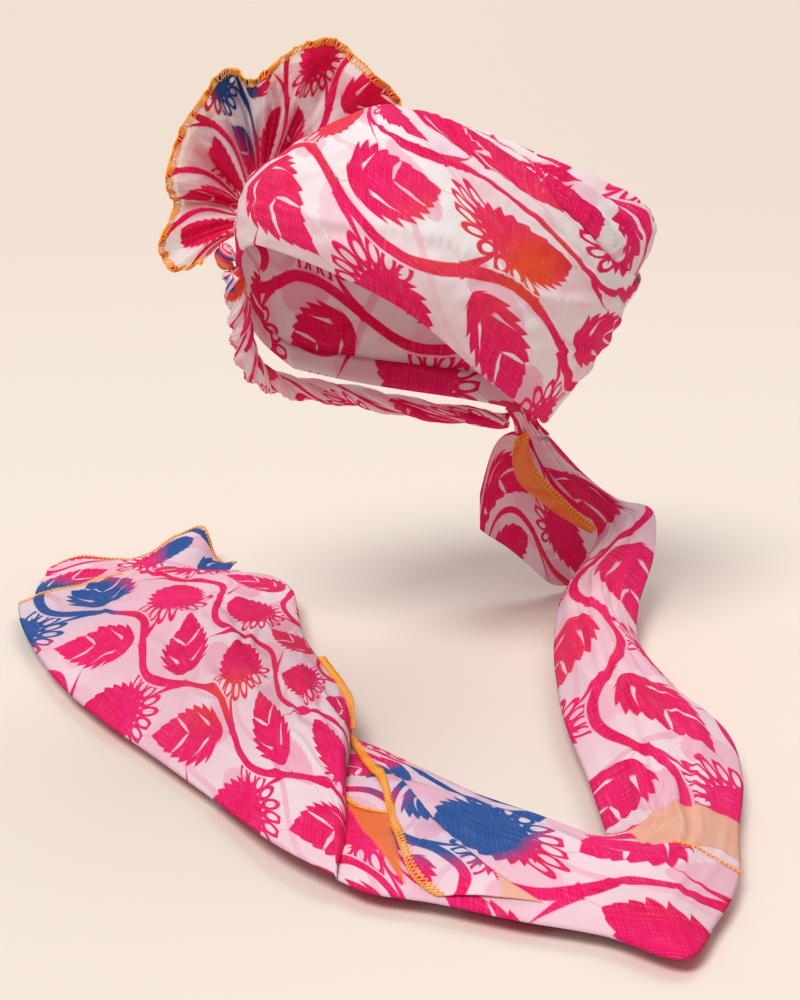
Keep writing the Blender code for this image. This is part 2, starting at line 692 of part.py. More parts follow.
def build_tail_under_layer():
    """The layer that hangs behind the tail."""
    rows = along_rows(UNDER_LAYER, np.linspace(0.0, 1.0, FLAP_STEPS_LONG))
    down = np.linspace(0.0, 1.0, UNDER_STEPS_DOWN)[None, :]
    up = rows[:, 1:2] + (rows[:, 3:4] - rows[:, 1:2]) * down
    near = rows[:, 2:3] + (rows[:, 4:5] - rows[:, 2:3]) * down
    near = near - UNDER_WAVE * down * np.sin(rows[:, 0:1] * UNDER_WAVES + down)
    side = np.broadcast_to(rows[:, 0:1], up.shape)
    grid = stage_points(side, np.broadcast_to(near, up.shape), up)
    return sheet_solid("tail_under_layer", grid, FLAP_WALL, VOILE_WHITE)


def build_tail_border_flap():
    """The orange border beside the hanging tail."""
    rows = along_rows(BORDER_FLAP, np.linspace(0.0, 1.0, FLAP_STEPS_LONG))
    wide = np.linspace(0.0, 1.0, FLAP_STEPS_WIDE)[None, :]
    side = rows[:, 0:1] + (rows[:, 2:3] - rows[:, 0:1]) * wide
    up = rows[:, 1:2] + (rows[:, 3:4] - rows[:, 1:2]) * wide
    near = rows[:, 4:5] + BORDER_FLAP_HUMP * np.sin(np.pi * wide)
    grid = stage_points(side, near, up)
    return sheet_solid("tail_border_flap", grid, FLAP_WALL, BORDER_ORANGE)


def strip_between(rows, steps_long, steps_wide, hump):
    """A strip from a table of its two edges, raised by a hump along its middle."""
    values = along_rows(rows, np.linspace(0.0, 1.0, steps_long))
    wide = np.linspace(0.0, 1.0, steps_wide)[None, :, None]
    place = values[:, None, 0:3] + (values[:, None, 3:6] - values[:, None, 0:3]) * wide
    place[..., 2] += hump * np.sin(np.pi * wide[..., 0])
    return stage_points(place[..., 0], place[..., 1], place[..., 2])


def build_tail_cross_flap():
    """The turned-over strip with the stitched hem."""
    grid = strip_between(CROSS_FLAP, FLAP_STEPS_LONG, FLAP_STEPS_WIDE, CROSS_FLAP_HUMP)
    return sheet_solid("tail_cross_flap", grid, FLAP_WALL, VOILE_WHITE)


def build_tail_end_fold():
    """The crumpled hem and the small cone behind the far end."""
    grid = strip_between(END_FOLD, CRUMPLE_STEPS_LONG, CRUMPLE_STEPS_WIDE, END_FOLD_HUMP)
    return sheet_solid("tail_end_fold", grid, FLAP_WALL, VOILE_WHITE)


def main():
    for old in list(bpy.data.objects):
        bpy.data.objects.remove(old, do_unlink=True)
    build_brow_wrap()
    build_crown_cap()
    build_fan_front()
    build_fan_back()
    build_fan_knot()
    build_side_twist()
    build_nape_gather()
    build_tail_run()
    build_tail_end()
    build_tail_under_layer()
    build_tail_border_flap()
    build_tail_cross_flap()
    build_tail_end_fold()


main()
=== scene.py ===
"""Safa turban in printed voile: the crown, its ruffle, the twisted roll and the tail.

Metres, +Z up. The wearer faces -Y and the wearer's left is +X. The origin is at the
inside top of the crown. Each piece is a surface worked out on a grid with numpy, and
each cloth carries its own cut: a UV map of lengths on it, scaled for the print.
"""

import math

import bmesh
import bpy
import numpy as np
from bpy.props import (
    FloatProperty,
    FloatVectorProperty,
    IntProperty,
    PointerProperty,
)
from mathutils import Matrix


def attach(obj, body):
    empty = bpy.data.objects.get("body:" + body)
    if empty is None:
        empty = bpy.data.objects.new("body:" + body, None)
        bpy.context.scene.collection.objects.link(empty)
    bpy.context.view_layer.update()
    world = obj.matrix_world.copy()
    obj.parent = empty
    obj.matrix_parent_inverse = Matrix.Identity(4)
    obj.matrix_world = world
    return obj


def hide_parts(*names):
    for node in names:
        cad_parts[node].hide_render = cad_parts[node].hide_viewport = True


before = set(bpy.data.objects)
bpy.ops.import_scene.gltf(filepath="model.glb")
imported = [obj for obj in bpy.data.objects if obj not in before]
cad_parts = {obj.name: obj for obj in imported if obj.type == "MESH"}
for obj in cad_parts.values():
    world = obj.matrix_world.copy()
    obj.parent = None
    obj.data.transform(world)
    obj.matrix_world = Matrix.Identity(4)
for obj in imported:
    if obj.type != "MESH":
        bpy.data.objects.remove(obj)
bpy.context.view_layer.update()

bl_info = {
    "name": "Safa turban",
    "version": (1, 0, 0),
    "blender": (4, 5, 0),
    "location": "3D View > Sidebar > Turban",
    "description": "Makes a safa turban of printed voile with its ruffle and tail",
    "category": "Add Mesh",
}

# Places on the stage: the crown's height over the floor, and the turn of side and near
CROWN_ABOVE_FLOOR = 0.340
TAIL_TURN = math.radians(45.0)

# How far the cap goes under the panel: as a depth, and as a share of the way up
TUCK_DEPTH = 0.0022
CAP_TUCK = 0.06
# How far the panel stands off the crown, at shares of its own height
PANEL_LIFT_AT = (0.0, 0.02, 0.88, 0.97, 1.0)
PANEL_LIFT = (0.0018, 0.0026, 0.0030, 0.0048, 0.0040)
# Its lower edge rolled in: the first and last share up, and how far each row stands off
RIM_ROLL = (0.09, 0.006)
RIM_LIFT = (0.0002, 0.0, 0.0, 0.0, 0.0002, 0.0008)
# Steps round the crown, and up the panel and the cap
CROWN_TURNS = np.linspace(-75.0, 285.0, 391)
PANEL_ROWS = 84
CAP_ROWS = 88

# Samples along a fold, the height of a fold that hides no cloth, the point that folds
# face away from, and how much higher folds and creases stand than their tables give
FOLD_SAMPLES = 48
SOFT_FOLD = 0.0022
FOLD_MIDDLE = np.array((0.0, 0.0, -0.12))
FOLD_GAIN = 1.6
CREASE_GAIN = 2.3
SLACK_HEIGHT = 0.0005

# The print: its scale, where it starts on each cloth, its length for each
# radian round the crown, and what it skips for each metre that a fold stands out
CROWN_CUT_ROUND = 0.105
CROWN_PRINT = 0.78
PANEL_START = (0.02, 0.012)
CAP_START = (0.31, 0.27)
CAP_LEAN = math.radians(28.0)
FOLD_CLOTH = 4.0
TAIL_PRINT = 0.76
RUN_START = (0.1, 0.035)
END_START = (0.55, 0.14)
RUFFLE_PRINT = (1.05, 1.45)
RUFFLE_START = (0.07, 0.012)
FLAP_START = (0.3, 0.05)

# Crown sections all round, turned from the front towards the wearer's left.
# turn, then distance out and height above the floor of rim, belly, shoulder and top
CROWN_SECTIONS = (
    (0, 0.0985, 0.270, 0.1020, 0.288, 0.0900, 0.310, 0.050, 0.331),
    (45, 0.0890, 0.243, 0.1040, 0.272, 0.0850, 0.315, 0.046, 0.338),
    (90, 0.0830, 0.190, 0.1060, 0.236, 0.0980, 0.296, 0.053, 0.330),
    (135, 0.0920, 0.153, 0.1320, 0.206, 0.1430, 0.270, 0.080, 0.313),
    (158, 0.1050, 0.143, 0.1420, 0.205, 0.1760, 0.268, 0.092, 0.306),
    (180, 0.1100, 0.142, 0.1380, 0.200, 0.1600, 0.262, 0.088, 0.303),
    (225, 0.0930, 0.152, 0.1160, 0.205, 0.1120, 0.262, 0.060, 0.303),
    (270, 0.0830, 0.172, 0.0930, 0.220, 0.0860, 0.275, 0.047, 0.306),
    (292, 0.0845, 0.196, 0.0890, 0.238, 0.0815, 0.284, 0.045, 0.311),
    (315, 0.0865, 0.227, 0.0870, 0.258, 0.0770, 0.292, 0.045, 0.315),
    (332, 0.0905, 0.256, 0.0915, 0.275, 0.0820, 0.301, 0.046, 0.323),
)
CROWN_PEAK_UP = 0.3425

# Upper edge of the brow panel: turn and share of the way from the rim to the peak
PANEL_EDGE = (
    (0, 0.78),
    (20, 0.88),
    (50, 0.92),
    (72, 0.87),
    (90, 0.72),
    (106, 0.50),
    (130, 0.38),
    (160, 0.36),
    (200, 0.40),
    (270, 0.46),
    (325, 0.52),
    (345, 0.60),
)

# Folds of the crown, each through three stations: turn from the front, share up.
# start turn, share, middle turn, share, end turn, share, height, half width
CROWN_FOLDS = (
    (80, 0.84, 104, 0.54, 130, 0.38, 0.0050, 0.008),
    (104, 0.80, 110, 0.57, 131, 0.41, 0.0055, 0.008),
    (122, 0.82, 124, 0.63, 137, 0.44, 0.0055, 0.009),
    (150, 0.84, 146, 0.62, 146, 0.46, 0.0045, 0.011),
    (-8, 0.42, 50, 0.62, 104, 0.40, 0.0022, 0.011),
    (-4, 0.20, 60, 0.34, 124, 0.22, 0.0018, 0.009),
)
# Finer creases of the cloth over the same crown, in the same columns
CROWN_CREASES = (
    (92, 0.86, 107, 0.56, 132, 0.37, 0.0018, 0.0032),
    (113, 0.84, 118, 0.60, 134, 0.42, 0.0020, 0.0034),
    (136, 0.84, 135, 0.62, 140, 0.45, 0.0018, 0.0040),
    (70, 0.72, 96, 0.50, 130, 0.31, 0.0012, 0.0040),
    (-6, 0.56, 20, 0.66, 60, 0.68, 0.0012, 0.0045),
    (-8, 0.36, 18, 0.48, 52, 0.50, 0.0011, 0.0040),
    (-8, 0.28, 10, 0.30, 34, 0.30, 0.0012, 0.0036),
    (92, 0.28, 118, 0.30, 146, 0.20, 0.0013, 0.0045),
    (100, 0.16, 124, 0.20, 148, 0.13, 0.0012, 0.0038),
    (84, 0.44, 112, 0.36, 142, 0.26, 0.0014, 0.0050),
    (168, 0.78, 162, 0.56, 152, 0.38, 0.0022, 0.0060),
    (196, 0.74, 184, 0.50, 160, 0.30, 0.0022, 0.0070),
    (232, 0.60, 206, 0.40, 164, 0.20, 0.0020, 0.0070),
    (262, 0.44, 220, 0.30, 168, 0.12, 0.0016, 0.0060),
    (300, 0.56, 262, 0.60, 214, 0.62, 0.0018, 0.0070),
    (318, 0.34, 282, 0.36, 236, 0.34, 0.0016, 0.0060),
)

# Hem of the ruffle from its right end round to the knot, then its gathered foot.
# side, near, up
FAN_HEM = (
    (0.010, -0.040, 0.333),
    (0.004, -0.034, 0.348),
    (-0.021, -0.030, 0.372),
    (-0.036, -0.022, 0.382),
    (-0.052, -0.012, 0.378),
    (-0.068, -0.002, 0.368),
    (-0.082, -0.008, 0.358),
    (-0.096, 0.010, 0.366),
    (-0.108, 0.002, 0.352),
    (-0.121, 0.012, 0.334),
    (-0.130, 0.004, 0.312),
    (-0.131, 0.018, 0.296),
    (-0.128, 0.008, 0.283),
    (-0.136, 0.026, 0.264),
    (-0.131, 0.030, 0.252),
    (-0.118, 0.024, 0.250),
    (-0.109, 0.036, 0.256),
)
FAN_FOOT = (
    (-0.0640, -0.0200, 0.2992),
    (-0.0730, -0.0180, 0.2963),
    (-0.0785, -0.0160, 0.2915),
    (-0.0858, -0.0140, 0.2840),
    (-0.0885, -0.0115, 0.2740),
    (-0.0912, -0.0020, 0.2655),
)
# Pleats, finer pleats and curls along the ruffle, how far the pleats swing, and where
# along it the deep valley lies
FAN_PLEATS = 9
FAN_FINE_PLEATS = 23
FAN_CURLS = 31
FAN_PLEAT_SWING = 0.0075
FAN_VALLEY = 0.42
# The back layer: how far it stands behind the front one, and its share of the reach
FAN_BACK_STEP = 0.010
FAN_BACK_SHARE = 0.86
# Steps along the ruffle, and its share of the cloth's thickness
RUFFLE_STEPS = 420
RUFFLE_WALL = 0.8

# Twisted roll on the far side: turn from the front, distance out, height
TWIST_PATH = (
    (-30, 0.0955, 0.2470),
    (-38, 0.0905, 0.222),
    (-48, 0.0890, 0.200),
    (-66, 0.0890, 0.175),
    (-90, 0.0900, 0.158),
    (-120, 0.0940, 0.146),
    (-150, 0.1030, 0.134),
    (-178, 0.1130, 0.131),
)
TWIST_RADIUS = 0.0066
TWIST_LOBES = 3
TWIST_LOBE_DEPTH = 0.0018
TWIST_TURNS = 3.5
# Steps along and round it
TWIST_STEPS = (340, 49)
# Lengths of the print along the roll and for each radian round it
TWIST_CUT = (0.24, 0.021)

KNOT_MIDDLE = (-0.0966, 0.0202, 0.2560)
KNOT_HALF_WIDE = 0.0090
KNOT_HALF_TALL = 0.0066
KNOT_WRAPS = 3
KNOT_WRAP_DEPTH = 0.0015
# Steps along and round it
KNOT_STEPS = (90, 65)

# Pinched bundle at the nape: share of the way down, side, near, up, radius
GATHER_SECTIONS = (
    (0.0, 0.0860, -0.0800, 0.1394, 0.0105),
    (0.4, 0.0890, -0.0840, 0.1310, 0.0080),
    (1.0, 0.0940, -0.0920, 0.1210, 0.0115),
)
GATHER_PLEATS = 9
GATHER_PLEAT_DEPTH = 0.0016
# Steps along and round it
GATHER_STEPS = (60, 121)

# Tail sections from the nape to under the spread end.
# left side, near, up, right side, near, up, swell
TAIL_RUN = (
    (0.0925, -0.0965, 0.1198, 0.107, -0.100, 0.1145, 0.004),
    (0.101, -0.104, 0.098, 0.130, -0.110, 0.088, 0.005),
    (0.120, -0.106, 0.076, 0.152, -0.112, 0.071, 0.006),
    (0.139, -0.106, 0.050, 0.175, -0.108, 0.064, 0.007),
    (0.126, -0.084, 0.032, 0.174, -0.084, 0.040, 0.012),
    (0.111, -0.050, 0.018, 0.160, -0.030, 0.022, 0.017),
    (0.103, 0.030, 0.014, 0.156, 0.034, 0.016, 0.019),
    (0.101, 0.108, 0.013, 0.172, 0.112, 0.013, 0.018),
    (0.102, 0.172, 0.013, 0.192, 0.176, 0.012, 0.016),
    (0.108, 0.248, 0.013, 0.192, 0.250, 0.012, 0.013),
    (0.112, 0.312, 0.012, 0.181, 0.324, 0.012, 0.012),
    (0.112, 0.336, 0.014, 0.173, 0.388, 0.011, 0.014),
    (0.107, 0.346, 0.015, 0.156, 0.438, 0.010, 0.016),
    (0.097, 0.342, 0.015, 0.138, 0.474, 0.009, 0.017),
    (0.080, 0.322, 0.015, 0.104, 0.448, 0.009, 0.016),
    (0.053, 0.290, 0.015, 0.062, 0.430, 0.009, 0.015),
    (0.024, 0.250, 0.015, 0.024, 0.410, 0.009, 0.014),
    (-0.003, 0.208, 0.013, -0.006, 0.399, 0.009, 0.010),
    (-0.0185, 0.1885, 0.012, -0.0228, 0.382, 0.009, 0.0061),
)
TAIL_END = (
    (-0.023, 0.166, 0.0272, -0.0241, 0.384, 0.0124, 0.009),
    (-0.030, 0.130, 0.026, -0.056, 0.344, 0.013, 0.013),
    (-0.041, 0.078, 0.022, -0.092, 0.272, 0.009, 0.017),
    (-0.053, 0.016, 0.018, -0.130, 0.206, 0.009, 0.018),
    (-0.058, -0.040, 0.017, -0.162, 0.152, 0.009, 0.018),
    (-0.064, -0.088, 0.016, -0.190, 0.098, 0.009, 0.017),
    (-0.080, -0.122, 0.015, -0.214, 0.036, 0.009, 0.014),
    (-0.104, -0.136, 0.013, -0.234, -0.030, 0.009, 0.010),
    (-0.124, -0.140, 0.012, -0.243, -0.078, 0.009, 0.006),
)
# Share of the cut on top of the folded tail, where its under layer stops, the gap
# between them, and what counts of the print's length toward the viewer
FOLD_SHARE = 0.60
UNDER_STOP = 0.16
FOLD_GAP = 0.0055
NEAR_SHARE = 0.65
# Columns over and under the fold, and the rows from which the tail lies on the floor
RUN_COLUMNS = (56, 25)
END_COLUMNS = (84, 27)
FLOOR_ROW = 150
BAND_ROW = 250
# How much higher the creases of the run and the end stand than their table gives
RUN_CREASE = 1.9
END_CREASE = 2.4
# Cell of a relief, and the height that it gives where it knows none
RELIEF_CELL = 0.0015
UNKNOWN = -1.0

# Long folds of the tail: where across it, height, half width, and waves along it
TAIL_FOLDS = (
    (0.22, 0.0035, 0.09, 1.6),
    (0.50, 0.0045, 0.11, 2.3),
    (0.78, 0.0030, 0.08, 1.1),
)
# Finer creases between them, in the same columns
TAIL_CREASES = (
    (0.10, 0.0012, 0.030, 2.7),
    (0.16, 0.0010, 0.022, 4.1),
    (0.31, 0.0016, 0.032, 3.3),
    (0.38, 0.0012, 0.024, 1.9),
    (0.44, 0.0009, 0.020, 5.2),
    (0.58, 0.0014, 0.028, 2.9),
    (0.66, 0.0012, 0.024, 4.6),
    (0.72, 0.0010, 0.020, 3.7),
    (0.88, 0.0012, 0.028, 2.2),
)

# Layer behind the hanging tail: side, height and near of its top, then of its foot
UNDER_LAYER = (
    (0.0610, 0.075, -0.113, 0.050, -0.116),
    (0.0690, 0.108, -0.1025, 0.043, -0.119),
    (0.0800, 0.120, -0.0978, 0.034, -0.122),
    (0.0950, 0.116, -0.1062, 0.021, -0.127),
    (0.1120, 0.096, -0.122, 0.006, -0.131),
    (0.1300, 0.078, -0.126, 0.004, -0.134),
    (0.1450, 0.060, -0.129, 0.004, -0.136),
)
UNDER_WAVE = 0.003
UNDER_WAVES = 160.0
# Steps along and down it
UNDER_STEPS = (120, 60)

# Orange border turned over beside the hanging tail: left side, up, right side, up, near
BORDER_FLAP = (
    (0.0830, 0.120, 0.0890, 0.126, -0.0798),
    (0.0810, 0.106, 0.0920, 0.112, -0.0820),
    (0.0850, 0.090, 0.0965, 0.098, -0.087),
    (0.0945, 0.080, 0.1050, 0.087, -0.090),
    (0.1060, 0.070, 0.1145, 0.077, -0.092),
    (0.1190, 0.061, 0.1240, 0.067, -0.093),
    (0.1330, 0.053, 0.1370, 0.056, -0.093),
)

# Turned-over strip on the floor part: left side, near, up, right side, near, up
CROSS_FLAP = (
    (-0.0210, 0.204, 0.0215, -0.0180, 0.203, 0.0220),
    (-0.0120, 0.248, 0.0262, -0.0020, 0.248, 0.0280),
    (-0.0020, 0.298, 0.0275, 0.0080, 0.292, 0.0295),
    (0.0040, 0.346, 0.0274, 0.0200, 0.334, 0.0299),
    (0.0120, 0.388, 0.0229, 0.0380, 0.374, 0.0269),
    (0.0190, 0.401, 0.0134, 0.0560, 0.403, 0.0159),
    (0.0260, 0.4085, 0.0110, 0.0760, 0.4250, 0.0130),
)

# Crumpled hem behind the far end: near side, near, up, far side, near, up
END_FOLD = (
    (-0.2360, -0.084, 0.0065, -0.2330, -0.172, 0.006),
    (-0.2160, -0.098, 0.0065, -0.2140, -0.180, 0.010),
    (-0.1930, -0.110, 0.0065, -0.1920, -0.190, 0.007),
    (-0.1700, -0.118, 0.0076, -0.1680, -0.188, 0.009),
    (-0.1540, -0.122, 0.0082, -0.1490, -0.200, 0.020),
    (-0.1380, -0.127, 0.0080, -0.1300, -0.202, 0.024),
    (-0.1240, -0.131, 0.0072, -0.1190, -0.182, 0.008),
    (-0.1120, -0.136, 0.0068, -0.1050, -0.172, 0.007),
)
END_FOLD_HUMP = 0.0025
# Steps along and across the three flaps
END_FOLD_STEPS = (200, 70)
BORDER_STEPS = (140, 24)
CROSS_STEPS = (200, 24)

# Patches of other dye on the print: x, y, z, radius, then blue and orange amounts
DYE_PATCHES = (
    (0.090, -0.045, -0.059, 0.024, 0.0, 0.9),
    (0.109, 0.008, -0.084, 0.026, 0.0, 1.2),
    (0.212, -0.192, -0.312, 0.024, 1.4, 0.0),
    (0.280, -0.216, -0.312, 0.036, 1.6, 0.0),
    (-0.168, -0.128, -0.320, 0.040, 1.4, 0.0),
    (-0.218, -0.110, -0.325, 0.045, 1.4, 0.0),
    (-0.205, 0.037, -0.322, 0.035, 1.4, 0.0),
    (0.326, -0.113, -0.260, 0.022, 0.8, 0.0),
    (0.060, -0.180, -0.320, 0.030, 0.0, 0.9),
    (0.030, 0.150, -0.280, 0.020, 0.0, 0.7),
)

# Where the woven border shows on the floor part: corners as side and near
ORANGE_BAND = (
    (-0.0319, 0.2307),
    (-0.0271, 0.2733),
    (-0.0192, 0.2995),
    (-0.0117, 0.3151),
    (0.0022, 0.3316),
    (0.0043, 0.3545),
    (0.0088, 0.3867),
    (0.0112, 0.3979),
    (0.0054, 0.3867),
    (-0.0093, 0.3465),
    (-0.0207, 0.3009),
    (-0.0308, 0.2523),
)
PEACH_BAND = (
    (0.1195, 0.3664),
    (0.1391, 0.3368),
    (0.1609, 0.3216),
    (0.1900, 0.3145),
    (0.1900, 0.3624),
    (0.1629, 0.3716),
    (0.1488, 0.3884),
    (0.1312, 0.3947),
    (0.1248, 0.3845),
)
# Stitched seams that lie on the floor part: side and near
BAND_SEAM = (
    (-0.0290, 0.2407),
    (-0.0271, 0.2733),
    (-0.0192, 0.2995),
    (-0.0117, 0.3151),
    (0.0022, 0.3316),
)
CORNER_SEAM = ((0.1402, 0.3889), (0.1542, 0.3851), (0.1667, 0.3826), (0.1763, 0.3800))
# Hem stitched beside the first edge of the spread end: side, near, up
JOINT_HEM = ((-0.0222, 0.181, 0.0268), (-0.0214, 0.193, 0.0248), (-0.0208, 0.205, 0.0232))

# Widths of the stitches on a hem and on a seam, how far they reach past their edge,
# how far they stand off the cloth, and how they rise where they cross
HEM_WIDTH = 0.0052
SEAM_WIDTH = 0.0026
HEM_PAST = 0.0006
HEM_LIFT = 0.0007
SEAM_LIFT = 0.0008
JOINT_LIFT = 0.0009
RUFFLE_HEM_LIFT = 0.0010
CROSSING_RISE = 0.0003
# The thread on the edge is thicker than the others
EDGE_THREAD = 1.35
# Points along a seam, and along the hem beside the spread end
SEAM_STEPS = 60
JOINT_STEPS = 90
# Scales of the noise across and along the cloth's own threads
THREADS_ACROSS = 2600.0
THREADS_ALONG = 70.0

# Flat size of each sheet, width and length: set to fit the area of its finished mesh
FLAT_SIZES = {
    "brow_panel": (0.13, 0.66),
    "top_cloth": (0.24, 0.27),
    "ruffle_front": (0.055, 0.30),
    "ruffle_back": (0.045, 0.23),
    "tail_length": (0.15, 0.82),
    "tail_spread_end": (0.29, 0.40),
    "tail_back_layer": (0.075, 0.095),
    "border_turn": (0.013, 0.10),
    "cross_turn": (0.022, 0.24),
    "end_crumple": (0.075, 0.13),
}

# Colours beside those that a user would change
GHOST_INK = (0.92, 0.38, 0.55)
PEACH = (0.90, 0.60, 0.46)
PALE_SLUB = (0.97, 0.93, 0.95)
GOLD_GLINT = (0.95, 0.52, 0.08)
SKY_TINT = (1.0, 0.99, 0.975, 1.0)
SUN_TINT = (1.0, 0.98, 0.95)
# Painted shade of the floor: its colour is multiplied by these toward far and toward side
FLOOR_PAINTED_SHADE = (0.92, 0.89, 0.865)

# Camera of the photograph, in the object's frame
CAMERA_PLACE = (1.1369, -1.1259, 0.186)
CAMERA_PITCH = 75.1
CAMERA_TURN = 45.0
CAMERA_LENS = 96.12
CAMERA_SENSOR = 36.0
CAMERA_REACH = 100.0


# Sizes and colours


def in_metres(name, description, default):
    """A length that the user may change."""
    return FloatProperty(name=name, description=description, default=default, unit="LENGTH")


def as_strength(name, description, default):
    """The strength of a light that the user may change."""
    return FloatProperty(name=name, description=description, default=default)


def as_colour(name, description, default):
    """A colour that the user may change."""
    return FloatVectorProperty(
        name=name, description=description, default=default, subtype="COLOR", size=3
    )


class TurbanSizes(bpy.types.PropertyGroup):
    """Sizes of the cloth and its print that a maker would change."""

    wall: in_metres("Cloth thickness", "Thickness of one layer of voile", 0.0007)
    strip: in_metres("Strip width", "Distance from one printed vine to the next", 0.060)
    wave: in_metres("Vine wave", "Length of one wave of a printed vine", 0.118)
    vine: in_metres("Vine half width", "Half the width of a printed vine", 0.0027)
    motif: in_metres("Leaf half length", "Half the length of a printed leaf", 0.0280)
    thread: in_metres("Thread radius", "Radius of the overlock thread on the hems", 0.00032)
    stitch: in_metres("Stitch pitch", "Distance from one overlock stitch to the next", 0.0056)
    border: in_metres("Border width", "Width of the orange border woven along the cloth's side", 0.025)


class TurbanColours(bpy.types.PropertyGroup):
    """Colours of the print, the border and the thread."""

    crimson: as_colour("Crimson", "Main colour of the print", (0.83, 0.002, 0.105))
    rose: as_colour("Rose", "Lighter colour within the print", (0.95, 0.008, 0.190))
    flame: as_colour("Flame", "Orange-red patches of the print", (0.90, 0.085, 0.030))
    blue: as_colour("Blue", "Blue patches of the print", (0.022, 0.100, 0.36))
    white: as_colour("Ground white", "Palest part of the ground", (0.95, 0.92, 0.94))
    blush: as_colour("Ground blush", "Pinkest part of the ground", (0.92, 0.58, 0.69))
    orange: as_colour("Border orange", "Colour of the woven border", (0.90, 0.24, 0.035))
    thread: as_colour("Thread orange", "Colour of the overlock thread", (1.00, 0.42, 0.025))


class TurbanStage(bpy.types.PropertyGroup):
    """Floor and light."""

    floor: as_colour("Floor", "Colour of the floor", (0.800, 0.712, 0.640))
    reach: in_metres("Floor size", "Half the side of the floor", 20.0)
    key: as_strength("Key light", "Strength of the broad light from above", 2.4)
    back: as_strength("Back light", "Strength of the light from behind the ruffle", 0.9)
    sky: as_strength("Sky", "Strength of the even light all round", 0.36)
    detail: IntProperty(
        name="Steps",
        description="Mesh steps along the tail",
        default=420,
    )


# Finishes by name, and the relief of the floor part, as they are made
STUFF = {}

# Curves and surfaces


def cubic(before, start, end, after, share):
    """Smooth curve through four points: Hermite from start to end with half-chord slopes."""
    slope_in = (end - before) * 0.5
    slope_out = (after - start) * 0.5
    a = share * share * (3.0 - 2.0 * share)
    b = share * (1.0 - share) ** 2
    c = share * share * (share - 1.0)
    return start + (end - start) * a + slope_in * b + slope_out * c


def along_rows(rows, places):
    """Smooth values of a table's columns; places run from 0 at its first row to 1."""
    rows = np.asarray(rows, float)
    last = len(rows) - 1
    position = np.clip(np.asarray(places, float), 0.0, 1.0) * last
    index = np.minimum(position.astype(int), last - 1)
    share = (position - index)[:, None]
    before = rows[np.maximum(index - 1, 0)]
    after = rows[np.minimum(index + 2, last)]
    return cubic(before, rows[index], rows[index + 1], after, share)


def round_rows(rows, turns):
    """Smooth values of a closed table whose first column is a turn in degrees."""
    rows = np.asarray(rows, float)
    angles = rows[:, 0]
    count = len(rows)
    turns = np.mod(np.asarray(turns, float), 360.0)
    index = np.searchsorted(angles, turns, side="right") - 1
    following = (index + 1) % count
    width = np.mod(angles[following] - angles[index], 360.0)
    share = ((turns - angles[index]) / width)[:, None]
    values = rows[:, 1:]
    return cubic(
        values[index - 1],
        values[index],
        values[following],
        values[(index + 2) % count],
        share,
    )


def stage_points(side, near, up):
    """Side, near and height above the floor, turned by 45 degrees into the frame."""
    x = side * math.cos(TAIL_TURN) + near * math.sin(TAIL_TURN)
    y = side * math.sin(TAIL_TURN) - near * math.cos(TAIL_TURN)
    return np.stack(np.broadcast_arrays(x, y, up - CROWN_ABOVE_FLOOR), axis=-1)


def crown_points(turn_degrees, out, up):
    """x = out sin(turn), y = -out cos(turn), z = up less the crown's height."""
    turn = np.radians(turn_degrees)
    return np.stack(
        np.broadcast_arrays(
            out * np.sin(turn), -out * np.cos(turn), up - CROWN_ABOVE_FLOOR
        ),
        axis=-1,
    )


def unit(vectors):
    """Each vector divided by its length."""
    length = np.linalg.norm(vectors, axis=-1, keepdims=True)
    return vectors / np.maximum(length, 1e-12)


def grid_normals(grid):
    """Unit cross product of the steps along and across the grid."""
    return unit(np.cross(np.gradient(grid, axis=0), np.gradient(grid, axis=1)))


def ripple(along, across, seed, count, shortest, longest):
    """Sum of sine ripples of random directions and lengths, scaled to about 1."""
    source = np.random.default_rng(seed)
    total = np.zeros(np.broadcast(along, across).shape)
    for _ in range(count):
        length = source.uniform(shortest, longest)
        turn = source.uniform(0.0, np.pi)
        phase = source.uniform(0.0, 2 * np.pi)
        wave = along * np.cos(turn) + across * np.sin(turn)
        total = total + np.sin(2 * np.pi * wave / length + phase)
    return total / math.sqrt(count)


def lengths_along(path):
    """Length of a path up to each of its points: the sum of the steps before it."""
    return np.concatenate([[0.0], np.cumsum(np.linalg.norm(np.diff(path, axis=0), axis=1))])


def cloth_lengths(grid):
    """Cut coordinates: mean length along the rows, and length across each row."""
    steps = np.linalg.norm(np.diff(grid, axis=0), axis=-1).mean(axis=1)
    along = np.concatenate([[0.0], np.cumsum(steps)])
    steps = np.linalg.norm(np.diff(grid, axis=1), axis=-1)
    across = np.concatenate(
        [np.zeros((grid.shape[0], 1)), np.cumsum(steps, axis=1)], axis=1
    )
    return np.broadcast_to(along[:, None], across.shape), across


def stand(name, data):
    """Puts a mesh, a light or a camera into the scene as an object at the origin."""
    made = bpy.data.objects.new(name, data)
    bpy.context.scene.collection.objects.link(made)
    return made


